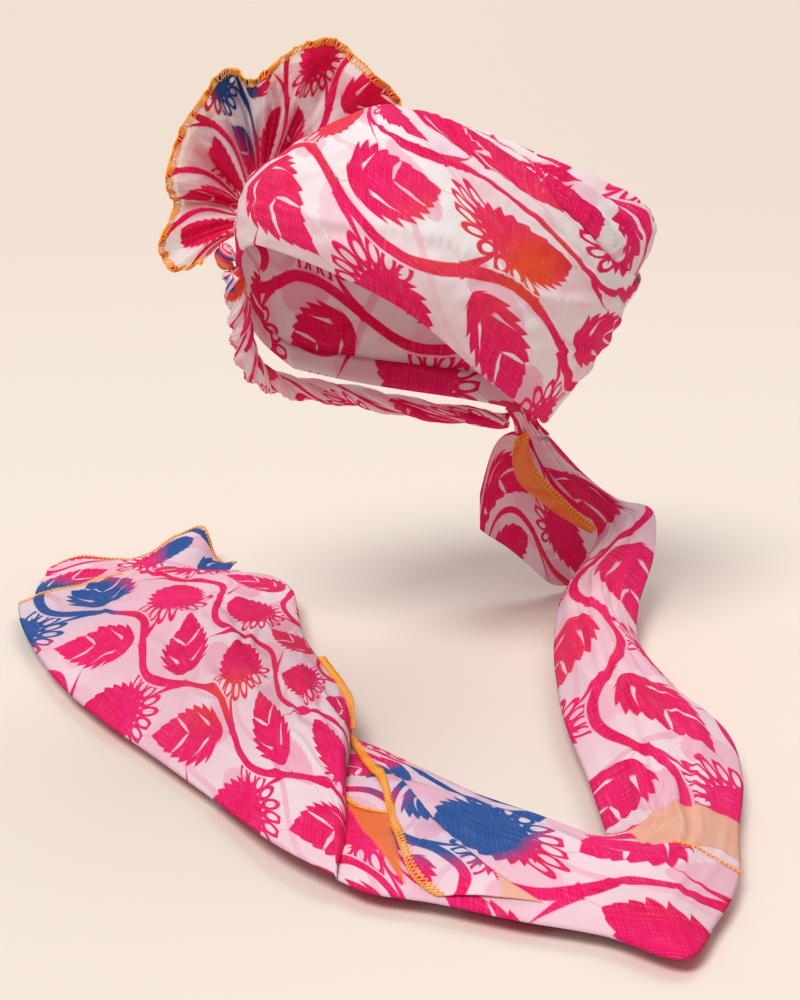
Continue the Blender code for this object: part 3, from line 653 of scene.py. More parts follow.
def weave(name, grid, cut, dye=None, edge=None):
    """A quad mesh on a grid of points with its cut as UV; touching points are welded.

    cut holds the two lengths that the print follows. dye holds blue, orange and pallor
    amounts, and edge the distance into the cloth from a bordered side.
    """
    rows, columns = grid.shape[:2]
    index = np.arange(rows * columns).reshape(rows, columns)
    quads = np.stack(
        [index[:-1, :-1], index[1:, :-1], index[1:, 1:], index[:-1, 1:]], axis=-1
    ).reshape(-1, 4)
    mesh = bpy.data.meshes.new(name)
    mesh.vertices.add(rows * columns)
    mesh.vertices.foreach_set("co", grid.reshape(-1).astype(np.float32))
    mesh.loops.add(quads.size)
    mesh.loops.foreach_set("vertex_index", quads.reshape(-1))
    mesh.polygons.add(len(quads))
    mesh.polygons.foreach_set("loop_start", np.arange(0, quads.size, 4))
    mesh.polygons.foreach_set("loop_total", np.full(len(quads), 4))
    layer = mesh.uv_layers.new(name="cut")
    flat = np.stack(np.broadcast_arrays(*cut), axis=-1).reshape(-1, 2)
    layer.data.foreach_set("uv", flat[quads.reshape(-1)].reshape(-1).astype(np.float32))
    if dye is None:
        dye = np.zeros((rows, columns, 3))
    colour = np.ones((rows * columns, 4), np.float32)
    colour[:, :3] = dye.reshape(-1, 3)
    layer = mesh.attributes.new("dye", "FLOAT_COLOR", "POINT")
    layer.data.foreach_set("color", colour.reshape(-1))
    if edge is None:
        edge = np.full((rows, columns), 1.0)
    layer = mesh.attributes.new("edge", "FLOAT", "POINT")
    layer.data.foreach_set("value", np.broadcast_to(edge, (rows, columns)).reshape(-1))
    mesh.update(calc_edges=True)
    body = bmesh.new()
    body.from_mesh(mesh)
    bmesh.ops.remove_doubles(body, verts=body.verts, dist=1e-6)
    bmesh.ops.recalc_face_normals(body, faces=body.faces)
    body.to_mesh(mesh)
    body.free()
    mesh.polygons.foreach_set("use_smooth", [True] * len(mesh.polygons))
    return stand(name, mesh)


def thicken(made, wall):
    """Gives a sheet its wall, half to each side."""
    solid = made.modifiers.new("wall", "SOLIDIFY")
    solid.thickness = wall
    solid.offset = 0.0
    solid.use_even_offset = False
    return made


def settle(made, stuff, nodes):
    """Finishes a piece: its material, the body it rides on and the nodes it stands for."""
    made.data.materials.append(STUFF[stuff])
    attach(made, "root")
    if nodes:
        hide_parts(*nodes)
    return made


def sew(name, grid, cut, dye, wall, stuff, node, edge=None):
    """A sheet: woven on its grid, given its wall and settled in place of its node."""
    made = thicken(weave(name, grid, cut, dye, edge), wall)
    return settle(made, stuff, [node])


def wind(name, grid, cut, dye, stuff, node, edge=None):
    """A padded piece: woven on its closed grid and settled in place of its node."""
    made = settle(weave(name, grid, cut, dye, edge), stuff, [node])


def tube(name, path, radius, sides, ups):
    """A round profile carried along a path: middle + radius (cos a side + sin a up)."""
    forward = unit(np.gradient(path, axis=0))
    side = unit(np.cross(forward, ups))
    up = np.cross(side, forward)
    angle = np.linspace(0.0, 2 * np.pi, sides + 1)[None, :, None]
    ring = path[:, None] + radius * (
        np.cos(angle) * side[:, None] + np.sin(angle) * up[:, None]
    )
    ring = np.concatenate([path[:1, None].repeat(sides + 1, 1), ring], axis=0)
    ring = np.concatenate([ring, path[-1:, None].repeat(sides + 1, 1)], axis=0)
    place = lengths_along(path)
    place = np.concatenate([[0.0], place, place[-1:]])[:, None]
    return weave(name, ring, (place, np.linspace(0.0, 1.0, sides + 1)[None, :]))


def hem_thread(name, edge, inward, normal, sizes, lift, width=HEM_WIDTH):
    """Overlock stitch along an edge: two threads that cross, and one straight on the edge.

    Thread: edge + inward (width (1 - cos(a)) / 2 - past) + normal (lift + 0.3 mm sin(2 a)),
    with a = 2 pi s / pitch + phase, s the length along the edge and the phase 0 or pi,
    where past is HEM_PAST and 0.3 mm is CROSSING_RISE.
    """
    far = lengths_along(edge)
    count = max(int(far[-1] / sizes.stitch) * 8, 16)
    places = np.linspace(0.0, far[-1], count + 1)
    line, inward, upward = (
        np.stack([np.interp(places, far, part[:, k]) for k in range(3)], axis=1)
        for part in (edge, inward, normal)
    )
    inward, upward = unit(inward), unit(upward)
    parts = [tube(name, line + upward * lift * 0.3, sizes.thread * EDGE_THREAD, 6, upward)]
    for phase in (0.0, np.pi):
        turn = 2 * np.pi * places / sizes.stitch + phase
        swing = (0.5 - 0.5 * np.cos(turn)) * width - HEM_PAST
        rise = lift + CROSSING_RISE * np.sin(2 * turn)
        path = line + inward * swing[:, None] + upward * rise[:, None]
        parts.append(tube(name, path, sizes.thread, 5, upward))
    return settle(join(name, parts), "thread", [])


def join(name, parts):
    """Makes one piece of several: their meshes, one after the other."""
    body = bmesh.new()
    for part in parts:
        body.from_mesh(part.data)
    mesh = bpy.data.meshes.new(name)
    body.to_mesh(mesh)
    body.free()
    for part in parts:
        old = part.data
        bpy.data.objects.remove(part)
        bpy.data.meshes.remove(old)
    return stand(name, mesh)


def patch_depth(points, corners):
    """Distance inside a polygon's edges, by its nearest edge; negative outside."""
    first = np.asarray(corners, float)
    second = np.roll(first, -1, axis=0)
    step = second - first
    place = points[..., None, :] - first
    share = np.clip((place * step).sum(-1) / (step ** 2).sum(-1), 0.0, 1.0)
    far = np.linalg.norm(place - share[..., None] * step, axis=-1).min(axis=-1)
    rising = (first[:, 1] <= points[..., None, 1]) != (second[:, 1] <= points[..., None, 1])
    height = np.where(step[:, 1] == 0.0, 1.0, step[:, 1])
    crossing = first[:, 0] + (points[..., None, 1] - first[:, 1]) / height * step[:, 0]
    inside = (rising & (crossing > points[..., None, 0])).sum(axis=-1) % 2 == 1
    return np.where(inside, far, -far)


def stage_plan(points):
    """Side and near of points in the object's frame."""
    c, w = math.cos(TAIL_TURN), math.sin(TAIL_TURN)
    side = points[..., 0] * c + points[..., 1] * w
    near = points[..., 0] * w - points[..., 1] * c
    return np.stack([side, near], axis=-1)


class Relief:
    """Highest points of a cloth over the floor, on square cells of side and near."""

    def __init__(self, grid):
        """Takes the highest point in each cell, then fills unknown cells by the mean of
        those round them, four times over."""
        plan = stage_plan(grid).reshape(-1, 2)
        self.low = plan.min(axis=0) - 4 * RELIEF_CELL
        count = ((plan.max(axis=0) - self.low) / RELIEF_CELL).astype(int) + 8
        self.height = np.full(count, UNKNOWN)
        index = ((plan - self.low) / RELIEF_CELL + 0.5).astype(int)
        np.maximum.at(self.height, (index[:, 0], index[:, 1]), grid[..., 2].ravel())
        for _ in range(4):
            padded = np.pad(self.height, 1, constant_values=UNKNOWN)
            around = [padded[i : i + count[0], j : j + count[1]] for i in range(3) for j in range(3)]
            known = sum(part > -0.9 for part in around)
            mean = sum(np.where(part > -0.9, part, 0.0) for part in around)
            self.height = np.where(known > 0, mean / np.maximum(known, 1), UNKNOWN)

    def at(self, plan):
        """Height between the four cells round each place."""
        place = (plan - self.low) / RELIEF_CELL
        index = np.clip(place.astype(int), 0, np.array(self.height.shape) - 2)
        share = np.clip(place - index, 0.0, 1.0)
        i, j, u, v = index[..., 0], index[..., 1], share[..., 0], share[..., 1]
        near = self.height[i, j] * (1 - v) + self.height[i, j + 1] * v
        far = self.height[i + 1, j] * (1 - v) + self.height[i + 1, j + 1] * v
        return near * (1 - u) + far * u


# Crown


def crown_surface(turns, shares):
    """Smooth curve from rim over belly, shoulder and top to the peak, turned round."""
    values = round_rows(CROWN_SECTIONS, turns.ravel())
    knots = np.zeros((len(values), 5, 2))
    knots[:, 0:4] = values.reshape(-1, 4, 2)
    knots[:, 4] = (0.0, CROWN_PEAK_UP)
    mirrored = knots[:, 3] * (-1.0, 1.0)
    stack = np.concatenate([knots[:, :1], knots, mirrored[:, None]], axis=1)
    position = np.clip(shares.ravel(), 0.0, 1.0) * 4.0
    index = np.minimum(position.astype(int), 3)
    share = (position - index)[:, None]
    pick = np.arange(len(values))
    flat = cubic(
        stack[pick, index],
        stack[pick, index + 1],
        stack[pick, index + 2],
        stack[pick, index + 3],
        share,
    )
    points = crown_points(turns.ravel(), flat[:, 0], flat[:, 1])
    return points.reshape(*turns.shape, 3)


def crown_folds(points, folds, steep):
    """Each fold raises by height exp(-(distance / half width)^2), faded at its ends.

    On the fold's lower side the half width is divided by steep. The second result is
    the tuck: 0 above each fold and its faded height, less a soft fold's, below it.
    """
    raised = np.zeros(points.shape[:-1])
    tucked = np.zeros(points.shape[:-1])
    shares = np.linspace(0.0, 1.0, FOLD_SAMPLES)
    fade = np.sin(np.pi * np.linspace(0.04, 0.96, FOLD_SAMPLES)) ** 0.5
    for fold in folds:
        line = along_rows(np.reshape(fold[0:6], (3, 2)), shares)
        line = crown_surface(line[:, 0], line[:, 1])
        away = np.cross(unit(np.gradient(line, axis=0)), unit(line - FOLD_MIDDLE))
        gap = points[..., None, :] - line
        far = np.linalg.norm(gap, axis=-1)
        nearest = far.argmin(axis=-1)
        far = far.min(axis=-1)
        side = np.take_along_axis((gap * away).sum(axis=-1), nearest[..., None], -1)[..., 0]
        width = np.where(side > 0.0, fold[7] / steep, fold[7])
        raised += fold[6] * fade[nearest] * np.exp(-((far / width) ** 2))
        reach = np.clip((side - 0.001) / 0.0015, 0.0, 1.0) * np.clip(2.0 - far / 0.03, 0.0, 1.0)
        tucked += max(fold[6] - SOFT_FOLD, 0.0) * fade[nearest] * reach
    return raised, tucked


def crown_grid(turns, shares, step_out):
    """Crown surface raised by its folds and creases and moved out by a step, and the
    length of cloth tucked away below each fold."""
    points = crown_surface(turns, shares)
    middle = np.array((0.0, 0.0, 0.22 - CROWN_ABOVE_FLOOR))
    outward = unit(points - middle)
    raised, tucked = crown_folds(points, CROWN_FOLDS, 3.0)
    creases, _ = crown_folds(points, CROWN_CREASES, 2.0)
    raised = raised * FOLD_GAIN + creases * CREASE_GAIN
    slack = ripple(points[..., 0] * 1.3 + points[..., 1], points[..., 2] * 1.6, 7, 9, 0.018, 0.05)
    fade = np.clip(shares * 12.0, 0.0, 1.0) * np.clip((1.0 - shares) * 8.0, 0.0, 1.0)
    raised = raised + SLACK_HEIGHT * slack * fade
    return points + outward * (raised + step_out)[..., None], tucked


def dye_of(points):
    """Blue, orange and pallor amounts: exp(-(distance / radius)^2) of each dye patch."""
    dye = np.zeros(points.shape)
    for x, y, z, radius, blue, orange in DYE_PATCHES:
        far = np.linalg.norm(points - np.array((x, y, z)), axis=-1)
        amount = np.exp(-((far / radius) ** 2))
        dye[..., 0] += blue * amount
        dye[..., 1] += orange * amount
    return np.clip(dye, 0.0, 1.0)


# Shader maths


class Field:
    """A socket of a material with arithmetic on it: each operation adds a Math node."""

    def __init__(self, kit, socket):
        self.kit = kit
        self.socket = socket

    def math(self, operation, *others, clamp=False):
        """Adds the Math node of an operation on this value and the others."""
        values = dict(enumerate((self,) + others))
        return self.kit.node(
            "ShaderNodeMath", {"operation": operation, "use_clamp": clamp}, values
        )

    def __add__(self, other):
        return self.math("ADD", other)

    __radd__ = __add__

    def __sub__(self, other):
        return self.math("SUBTRACT", other)

    def __rsub__(self, other):
        return self.kit.node(
            "ShaderNodeMath", {"operation": "SUBTRACT"}, {0: other, 1: self}
        )

    def __mul__(self, other):
        return self.math("MULTIPLY", other)

    __rmul__ = __mul__

    def __truediv__(self, other):
        return self.math("DIVIDE", other)

    def __pow__(self, other):
        return self.math("POWER", other)

    def __abs__(self):
        return self.math("ABSOLUTE")

    def least(self, other):
        """The lower of two values."""
        return self.math("MINIMUM", other)

    def most(self, other):
        """The higher of two values."""
        return self.math("MAXIMUM", other)

    def floor(self):
        """The whole number below."""
        return self.math("FLOOR")

    def part(self):
        """What is over the whole number below."""
        return self.math("FRACT")

    def inside(self, soft):
        """0 well below zero and 1 well above it, over twice the soft width."""
        return self.math("MULTIPLY_ADD", 0.5 / soft, 0.5, clamp=True)


class Kit:
    """Makes the nodes of one material."""

    def __init__(self, name):
        self.material = bpy.data.materials.new(name)
        self.material.use_nodes = True
        self.tree = self.material.node_tree
        self.tree.nodes.clear()

    def node(self, kind, settings=None, values=None, output=0):
        """Adds a node, sets its settings and then its sockets, and wraps one output."""
        made = self.tree.nodes.new(kind)
        for key, value in (settings or {}).items():
            setattr(made, key, value)
        for key, value in (values or {}).items():
            socket = made.inputs[key]
            if isinstance(value, Field):
                self.tree.links.new(value.socket, socket)
            else:
                socket.default_value = value
        return Field(self, made.outputs[output] if made.outputs else None)

    def mix(self, amount, low, high):
        """Colour low where amount is 0 and high where it is 1."""
        low, high = (c if isinstance(c, Field) else (*c, 1.0) for c in (low, high))
        return self.node(
            "ShaderNodeMix",
            {"data_type": "RGBA", "clamp_factor": True},
            {0: amount, 6: low, 7: high},
            output=2,
        )

    def noise(self, vector, scale, detail=2.0, rough=0.5):
        """Smooth noise from 0 to 1 on a vector."""
        return self.node(
            "ShaderNodeTexNoise",
            {"noise_dimensions": "3D"},
            {"Vector": vector, "Scale": scale, "Detail": detail, "Roughness": rough},
        )

    def vector(self, x, y):
        """A vector of two values, with no height."""
        return self.node("ShaderNodeCombineXYZ", {}, {0: x, 1: y})

    def split(self, kind, whole):
        """The three parts of a vector or a colour."""
        outputs = self.node(kind, {}, {0: whole}).socket.node.outputs
        return [Field(self, part) for part in outputs[:3]]

    def surface(self, colour, roughness, **others):
        """The main shader with its colour and roughness, and other sockets by name."""
        values = {"Base Color": colour, "Roughness": roughness}
        values.update({name.replace("_", " "): value for name, value in others.items()})
        return self.node("ShaderNodeBsdfPrincipled", {}, values)

    def through(self, colour, bump):
        """Light of one colour that comes through the cloth."""
        return self.node(
            "ShaderNodeBsdfTranslucent", {}, {"Color": (*colour, 1.0), "Normal": bump}
        )

    def blend(self, amount, low, high):
        """Shader low where amount is 0 and high where it is 1."""
        return self.node("ShaderNodeMixShader", {}, {0: amount, 1: low, 2: high})

    def close(self, shader):
        """Sends a shader to the material's output."""
        self.node("ShaderNodeOutputMaterial", {}, {"Surface": shader})
        return self.material


def leaf(x, y):
    """Serrated leaf: half width 0.59 (1 + y)^0.62 (1 - y)^1.05, cut by a row of teeth
    and by curved pale slits that run up and out from the middle."""
    side = abs(x)
    teeth = (y * 4.0 - side * 1.5).part()
    half = (y + 1.0).most(0.0) ** 0.62 * (1.0 - y).most(0.0) ** 1.05 * 0.59
    body = (half * (0.88 + teeth * 0.22) - side).inside(0.015)
    slits = abs((y * 1.30 - side * 1.1 - side * side * 1.2 + 0.52).part() - 0.5)
    slits = (0.085 - abs(side - 0.20) * 0.32 - slits).inside(0.015)
    slits = slits * (side - 0.02).inside(0.015) * (half * 0.82 - side).inside(0.02)
    slits = slits * (0.66 - y).inside(0.03) * (y + 0.60).inside(0.03)
    return body * (1.0 - slits)


def bloom(x, y):
    """Serrated bloom with a fan of looped petals at its wide end.

    Body: half width 0.86 (1 + y)^0.8 (0.62 - y)^0.5 with teeth. Petals: outlines at 0.78
    of ellipses of half sizes 0.118 and 0.27, each 0.70 out from (0, 0.18) and 0.36
    radians from the next.
    """
    side = abs(x)
    teeth = (0.0 - y * 4.6 - side * 1.2).part()
    half = (y + 1.0).most(0.0) ** 0.8 * (0.62 - y).most(0.0) ** 0.5 * 0.86
    body = (half * (0.86 + teeth * 0.22) - side).inside(0.015)
    up = y - 0.18
    turn = x.math("ARCTAN2", up)
    radius = (x * x + up * up).math("SQRT")
    petal = turn / 0.36
    petal = (petal - petal.math("ROUND")) * 0.36 * radius / 0.118
    out = (radius - 0.70) / 0.27
    ring = (petal * petal + out * out).math("SQRT")
    ring = (0.26 - abs(ring - 0.78)).inside(0.05) * (1.62 - abs(turn)).inside(0.03)
    return body.most(ring)


def vine_print(kit, s, t, sizes):
    """Vines side by side along the cloth, with a leaf or a bloom in each bend between.

    Vine: s = strip k + bend sin(2 pi t / wave). The motif of each half wave lies midway
    between two vines, turned to one side and the other in turn, with a thorn between.
    """
    strip, pitch, bend = sizes.strip, sizes.wave / 2.0, 0.0120
    phase = t / pitch
    curve = (phase * math.pi).math("SINE") * bend
    place = (s - curve) / strip
    k = place.floor()
    m = phase.floor()
    along = (phase - m - 0.5) * pitch
    odd_strip = (k * 0.5).part() * 2.0
    odd_half = (m * 0.5).part() * 2.0
    slope = (phase * math.pi).math("COSINE") * (bend * math.pi / pitch)
    slope = (slope * slope + 1.0).math("SQRT")
    gap = (place - place.math("ROUND")) * strip / slope
    vine = (sizes.vine - abs(gap)).inside(0.0003)
    swing = 1.0 - odd_half * 2.0
    kind = abs(odd_strip - odd_half)
    turned = 1.0 - kind * 2.0
    across = s - (k + 0.5) * strip - swing * (bend * 0.8)
    lean, size = 0.55, sizes.motif
    flip = swing * turned
    u = (across * math.cos(lean) + along * flip * math.sin(lean)) / size
    v = (along * math.cos(lean) - across * flip * math.sin(lean)) * turned / size
    shape = leaf(u, v) * (1.0 - kind) + bloom(u, v) * kind
    shape = shape * (abs(gap) - sizes.vine * 1.4).inside(0.0003)
    between = (phase + 0.5).part() * pitch - pitch * 0.5
    branch = gap * swing - between * 0.30 - between * between * 20.0
    thorn = (0.0028 - between * 0.135 - abs(branch) * 0.8).inside(0.0003)
    thorn = thorn * (between + 0.001).inside(0.0005)
    number = kit.node(
        "ShaderNodeTexWhiteNoise",
        {"noise_dimensions": "2D"},
        {"Vector": kit.vector(k, m)},
    )
    return shape.most(vine).most(thorn), number, v


def ghost_print(s, t, sizes):
    """The print of a layer behind, as whole leaves and vines without their slits.

    Leaf: half width 0.72 (1 - y^2)^0.6 with teeth. Vine: 0.20 sin(pi t / wave) across.
    """
    strip, wave = sizes.strip * 0.86, sizes.wave * 0.42
    k = (s / strip).floor()
    across = s / strip - k - 0.5
    m = (t / wave).floor()
    along = t / wave - m - 0.5
    flip = 1.0 - (m * 0.5).part() * 4.0
    x = abs(across * 2.9 + along * flip * 0.9)
    y = along * 2.6 - across * flip * 0.9
    teeth = (y * 4.0 - x * 1.5).part()
    half = (1.0 - y * y).most(0.0) ** 0.6 * 0.72
    body = (half * (0.88 + teeth * 0.20) - x).inside(0.03)
    bend = (t / wave * math.pi).math("SINE") * 0.20
    place = across - bend + 0.5
    vine = (0.042 - abs(place - place.math("ROUND"))).inside(0.006)
    return body.most(vine)


def pale_ground(colours, pallor):
    """One colour between blush and white, whiter with more pallor."""
    share = min(max(0.55 + pallor, 0.0), 1.0)
    return tuple(b + (w - b) * share for b, w in zip(colours.blush, colours.white))


def voile(name, sizes, colours, alpha=1.0, pallor=0.0, glow=0.24, ghost=0.75):
    """Printed voile: ground, pale print of the layer behind, print, slubs and border.

    glow is the share of light that comes through, ghost the strength of the layer behind,
    pallor what is added to the ground's white, and alpha the cover of the cloth between
    the ink; ink covers by 0.94 where the cloth is sheer.
    """
    kit = Kit(name)
    cut = kit.node("ShaderNodeUVMap", {"uv_map": "cut"})
    t, s, _ = kit.split("ShaderNodeSeparateXYZ", cut)
    dye = kit.node("ShaderNodeAttribute", {"attribute_name": "dye"})
    blue, orange, pale = kit.split("ShaderNodeSeparateColor", dye)
    edge = kit.node("ShaderNodeAttribute", {"attribute_name": "edge"}, output=2)
    wander = kit.noise(cut, 38.0, 1.0)
    wander = (wander - 0.5) * 0.004
    mask, number, v = vine_print(kit, s + wander, t + wander * 0.7, sizes)
    cloud = kit.noise(cut, 22.0, 3.0)
    cloud_wide = kit.noise(cut, 9.0, 2.0)
    threads_long = kit.noise(kit.vector(t * THREADS_ALONG, s * THREADS_ACROSS), 1.0, 1.0)
    threads_wide = kit.noise(kit.vector(t * THREADS_ACROSS, s * THREADS_ALONG), 1.0, 1.0)
    slub = threads_long + threads_wide
    ground = kit.mix((cloud_wide * 2.6 - 0.85 + pallor), colours.blush, colours.white)
    behind = ghost_print(s * 0.80 + t * 0.60, t * 0.80 - s * 0.60, sizes)
    veil = (cloud_wide * 4.0 - 1.4).least(1.0).most(0.0) * ghost
    ground = kit.mix(behind * veil, ground, GHOST_INK)
    ground = kit.mix(blue * 0.25 * cloud, ground, colours.blue)
    ink = kit.mix((cloud * 2.4 - 0.60 + v * 0.20), colours.crimson, colours.rose)
    flame = (number - 0.86).inside(0.01) * (cloud_wide * 3.0 - 1.0).least(1.0)
    ink = kit.mix((orange + flame * 0.9), ink, colours.flame)
    blue_ink = (blue - 0.40).inside(0.18)
    ink = kit.mix(blue_ink, ink, colours.blue)
    worn = (slub - 1.24).inside(0.06) * 0.10
    cover = mask * (1.0 - worn)
    colour = kit.mix(cover, ground, ink)
    band = (sizes.border - edge).inside(0.0006)
    band_colour = kit.mix(cover * 0.14, colours.orange, ink)
    band_colour = kit.mix(pale, band_colour, PEACH)
    colour = kit.mix(band * 0.94, colour, band_colour)
    colour = kit.mix((slub - 1.08).inside(0.10) * 0.05, colour, PALE_SLUB)
    weave_height = slub + cloud * 0.8
    bump = kit.node(
        "ShaderNodeBump",
        {},
        {"Strength": 0.22, "Distance": 0.0004, "Height": weave_height},
    )
    shader = kit.surface(colour, 0.75, Normal=bump, Specular_IOR_Level=0.12)
    lit_ink = kit.through(colours.crimson, bump)
    lit_ink = kit.blend(blue_ink, lit_ink, kit.through(colours.blue, bump))
    through = kit.blend(cover, kit.through(pale_ground(colours, pallor), bump), lit_ink)
    through = kit.blend(band * 0.94, through, kit.through(colours.orange, bump))
    mixed = kit.blend(glow, shader, through)
    if alpha < 1.0:
        see = cover * (0.94 - alpha) + alpha + (slub - 1.0) * 0.15
        clear = kit.node("ShaderNodeBsdfTransparent", {}, {"Color": (1.0, 1.0, 1.0, 1.0)})
        mixed = kit.blend(see, clear, mixed)
    return kit.close(mixed)


def thread_finish(name, colours):
    """Overlock thread: orange with small gold glints."""
    kit = Kit(name)
    place = kit.node("ShaderNodeTexCoord", {}, {}, output=3)
    glint = (kit.noise(place, 900.0, 1.0) - 0.62).inside(0.05)
    tone = kit.mix(glint * 0.5, colours.thread, GOLD_GLINT)
    return kit.close(kit.surface(tone, 0.45))


# Operators


class TURBAN_OT_cloth(bpy.types.Operator):
    """Makes the printed voile of the tail, the crown and the ruffle, and the thread."""

    bl_idname = "turban.cloth"
    bl_label = "Cloth and thread"

    def execute(self, context):
        sizes, colours = context.scene.turban_sizes, context.scene.turban_colours
        STUFF["voile"] = voile("printed voile of the tail", sizes, colours, pallor=-0.10)
        STUFF["crown"] = voile("printed voile of the crown", sizes, colours, pallor=0.45)
        STUFF["sheer"] = voile(
            "sheer printed voile", sizes, colours, alpha=0.50, pallor=0.80, glow=0.52, ghost=0.12
        )
        STUFF["thread"] = thread_finish("overlock thread", colours)
        return {"FINISHED"}


def crown_cut(turns, shares, tucked):
    """Cut of the panel: a fixed length for each radian round, the real length upwards and
    FOLD_CLOTH times what each fold hides, both scaled for the print."""
    _, up = cloth_lengths(crown_surface(turns, shares))
    along, across = np.radians(turns) * CROWN_CUT_ROUND, up + tucked * FOLD_CLOTH
    return along * CROWN_PRINT + PANEL_START[0], across * CROWN_PRINT + PANEL_START[1]


def cap_cut(turns, shares):
    """Cut of the cap: the scaled length down from the peak, laid out in the direction
    from the peak to the foot of its row, which is turned by CAP_LEAN."""
    surface = crown_surface(turns, shares)
    _, up = cloth_lengths(surface)
    down = (up[:, -1:] - up) * CROWN_PRINT
    away = surface[..., :2] - surface[:1, -1:, :2]
    away = away[:, :1] / np.linalg.norm(away[:, :1], axis=-1, keepdims=True)
    along = away[..., 0] * math.sin(CAP_LEAN) + away[..., 1] * math.cos(CAP_LEAN)
    aside = away[..., 0] * math.cos(CAP_LEAN) - away[..., 1] * math.sin(CAP_LEAN)
    return down * along + CAP_START[0], down * aside + CAP_START[1]


class TURBAN_OT_crown(bpy.types.Operator):
    """Makes the brow panel and the cloth over the top of the crown."""

    bl_idname = "turban.crown"
    bl_label = "Crown"

    def execute(self, context):
        sizes = context.scene.turban_sizes
        turns = CROWN_TURNS
        edge = round_rows(PANEL_EDGE, turns)[:, 0]
        up = np.linspace(0.0, 1.0, PANEL_ROWS)
        shares = edge[:, None] * up[None, :]
        rolled = np.linspace(*RIM_ROLL, len(RIM_LIFT))[None, :] * np.ones_like(edge)[:, None]
        shares = np.concatenate([rolled, shares], axis=1)
        step = np.concatenate([RIM_LIFT, np.interp(up, PANEL_LIFT_AT, PANEL_LIFT)])
        wide = np.broadcast_to(turns[:, None], shares.shape)
        grid, tucked = crown_grid(wide, shares, np.broadcast_to(step, shares.shape))
        cut = crown_cut(wide, shares, tucked)
        panel = sew("brow_panel", grid, cut, dye_of(grid), sizes.wall, "crown", "brow_wrap")

        edge = edge - CAP_TUCK
        up = np.linspace(0.0, 1.0, CAP_ROWS)
        shares = edge[:, None] + (1.0 - edge[:, None]) * up[None, :]
        wide = np.broadcast_to(turns[:, None], shares.shape)
        under = np.clip(1.0 - (shares - edge[:, None]) / (1.6 * CAP_TUCK), 0.0, 1.0)
        grid, _ = crown_grid(wide, shares, -TUCK_DEPTH * under)
        grid[:, -1] = grid[:, -1].mean(axis=0)
        cut = cap_cut(wide, shares)
        cap = sew("top_cloth", grid, cut, dye_of(grid), sizes.wall, "crown", "crown_cap")
        return {"FINISHED"}


def fan_grid(along, out, reach, back):
    """Ruffle: foot + (hem - foot) out, with pleats that swing near and far by
    swing out^1.1 cos(2 pi pleats along), finer pleats between them and a curled hem."""
    hem = along_rows(FAN_HEM, along.ravel()).reshape(*along.shape, 3)
    foot = along_rows(FAN_FOOT, along.ravel()).reshape(*along.shape, 3)
    bow = np.sin(np.pi * out) * 0.006
    place = foot + (hem - foot) * (out * reach)[..., None]
    wave = np.cos(2 * np.pi * FAN_PLEATS * along + 0.8 * np.sin(2 * np.pi * 2 * along))
    wave = wave + 0.22 * np.cos(4 * np.pi * FAN_PLEATS * along + 1.0)
    fine = np.cos(2 * np.pi * FAN_FINE_PLEATS * along + 3.0 * np.sin(5.0 * along))
    place[..., 1] += wave * FAN_PLEAT_SWING * out ** 1.1 - back * (0.16 + 0.84 * out)
    place[..., 1] += fine * 0.0016 * np.sin(np.pi * np.clip(out, 0.0, 1.0)) ** 0.5
    place[..., 2] += bow * 0.4
    valley = np.exp(-(((along - FAN_VALLEY) / 0.035) ** 2)) * out
    place[..., 1] -= 0.010 * valley
    curl = np.clip((out - 0.82) / 0.18, 0.0, 1.0) ** 2
    turn = 2 * np.pi * FAN_CURLS * along + 2.0 * np.sin(9.0 * along)
    place[..., 1] += curl * 0.0030 * np.cos(turn)
    return stage_points(place[..., 0], place[..., 1], place[..., 2])


class TURBAN_OT_ruffle(bpy.types.Operator):
    """Makes the two layers of the standing ruffle and their stitched hems."""

    bl_idname = "turban.ruffle"
    bl_label = "Ruffle"

    def execute(self, context):
        sizes = context.scene.turban_sizes
        for name, node, span, reach, back, columns in (
            ("ruffle_front", "fan_front", (0.0, 1.0, 0.08), 1.0, 0.0, 44),
            ("ruffle_back", "fan_back", (0.04, 0.80, 0.14), FAN_BACK_SHARE, FAN_BACK_STEP, 40),
        ):
            along = np.linspace(span[0], span[1], RUFFLE_STEPS)
            out = np.linspace(span[2], 1.0, columns)
            along, out = np.meshgrid(along, out, indexing="ij")
            grid = fan_grid(along, out, reach, back)
            length, across = cloth_lengths(grid)
            dye = dye_of(grid)
            valley = np.exp(-(((along - FAN_VALLEY) / 0.07) ** 2)) * np.clip(out * 1.2, 0.0, 1.0)
            dye[..., 0] = np.maximum(dye[..., 0], valley)
            cut = (
                across * RUFFLE_PRINT[0] + RUFFLE_START[0],
                length * RUFFLE_PRINT[1] + RUFFLE_START[1],
            )
            piece = sew(name, grid, cut, dye, sizes.wall * RUFFLE_WALL, "sheer", node)
            normal = grid_normals(grid)[:, -4]
            normal = normal * np.sign(normal[:, :1] - normal[:, 1:2])
            inward = grid[:, -5] - grid[:, -1]
            hem = hem_thread(name + "_hem", grid[:, -1], inward, normal, sizes, RUFFLE_HEM_LIFT)
        return {"FINISHED"}


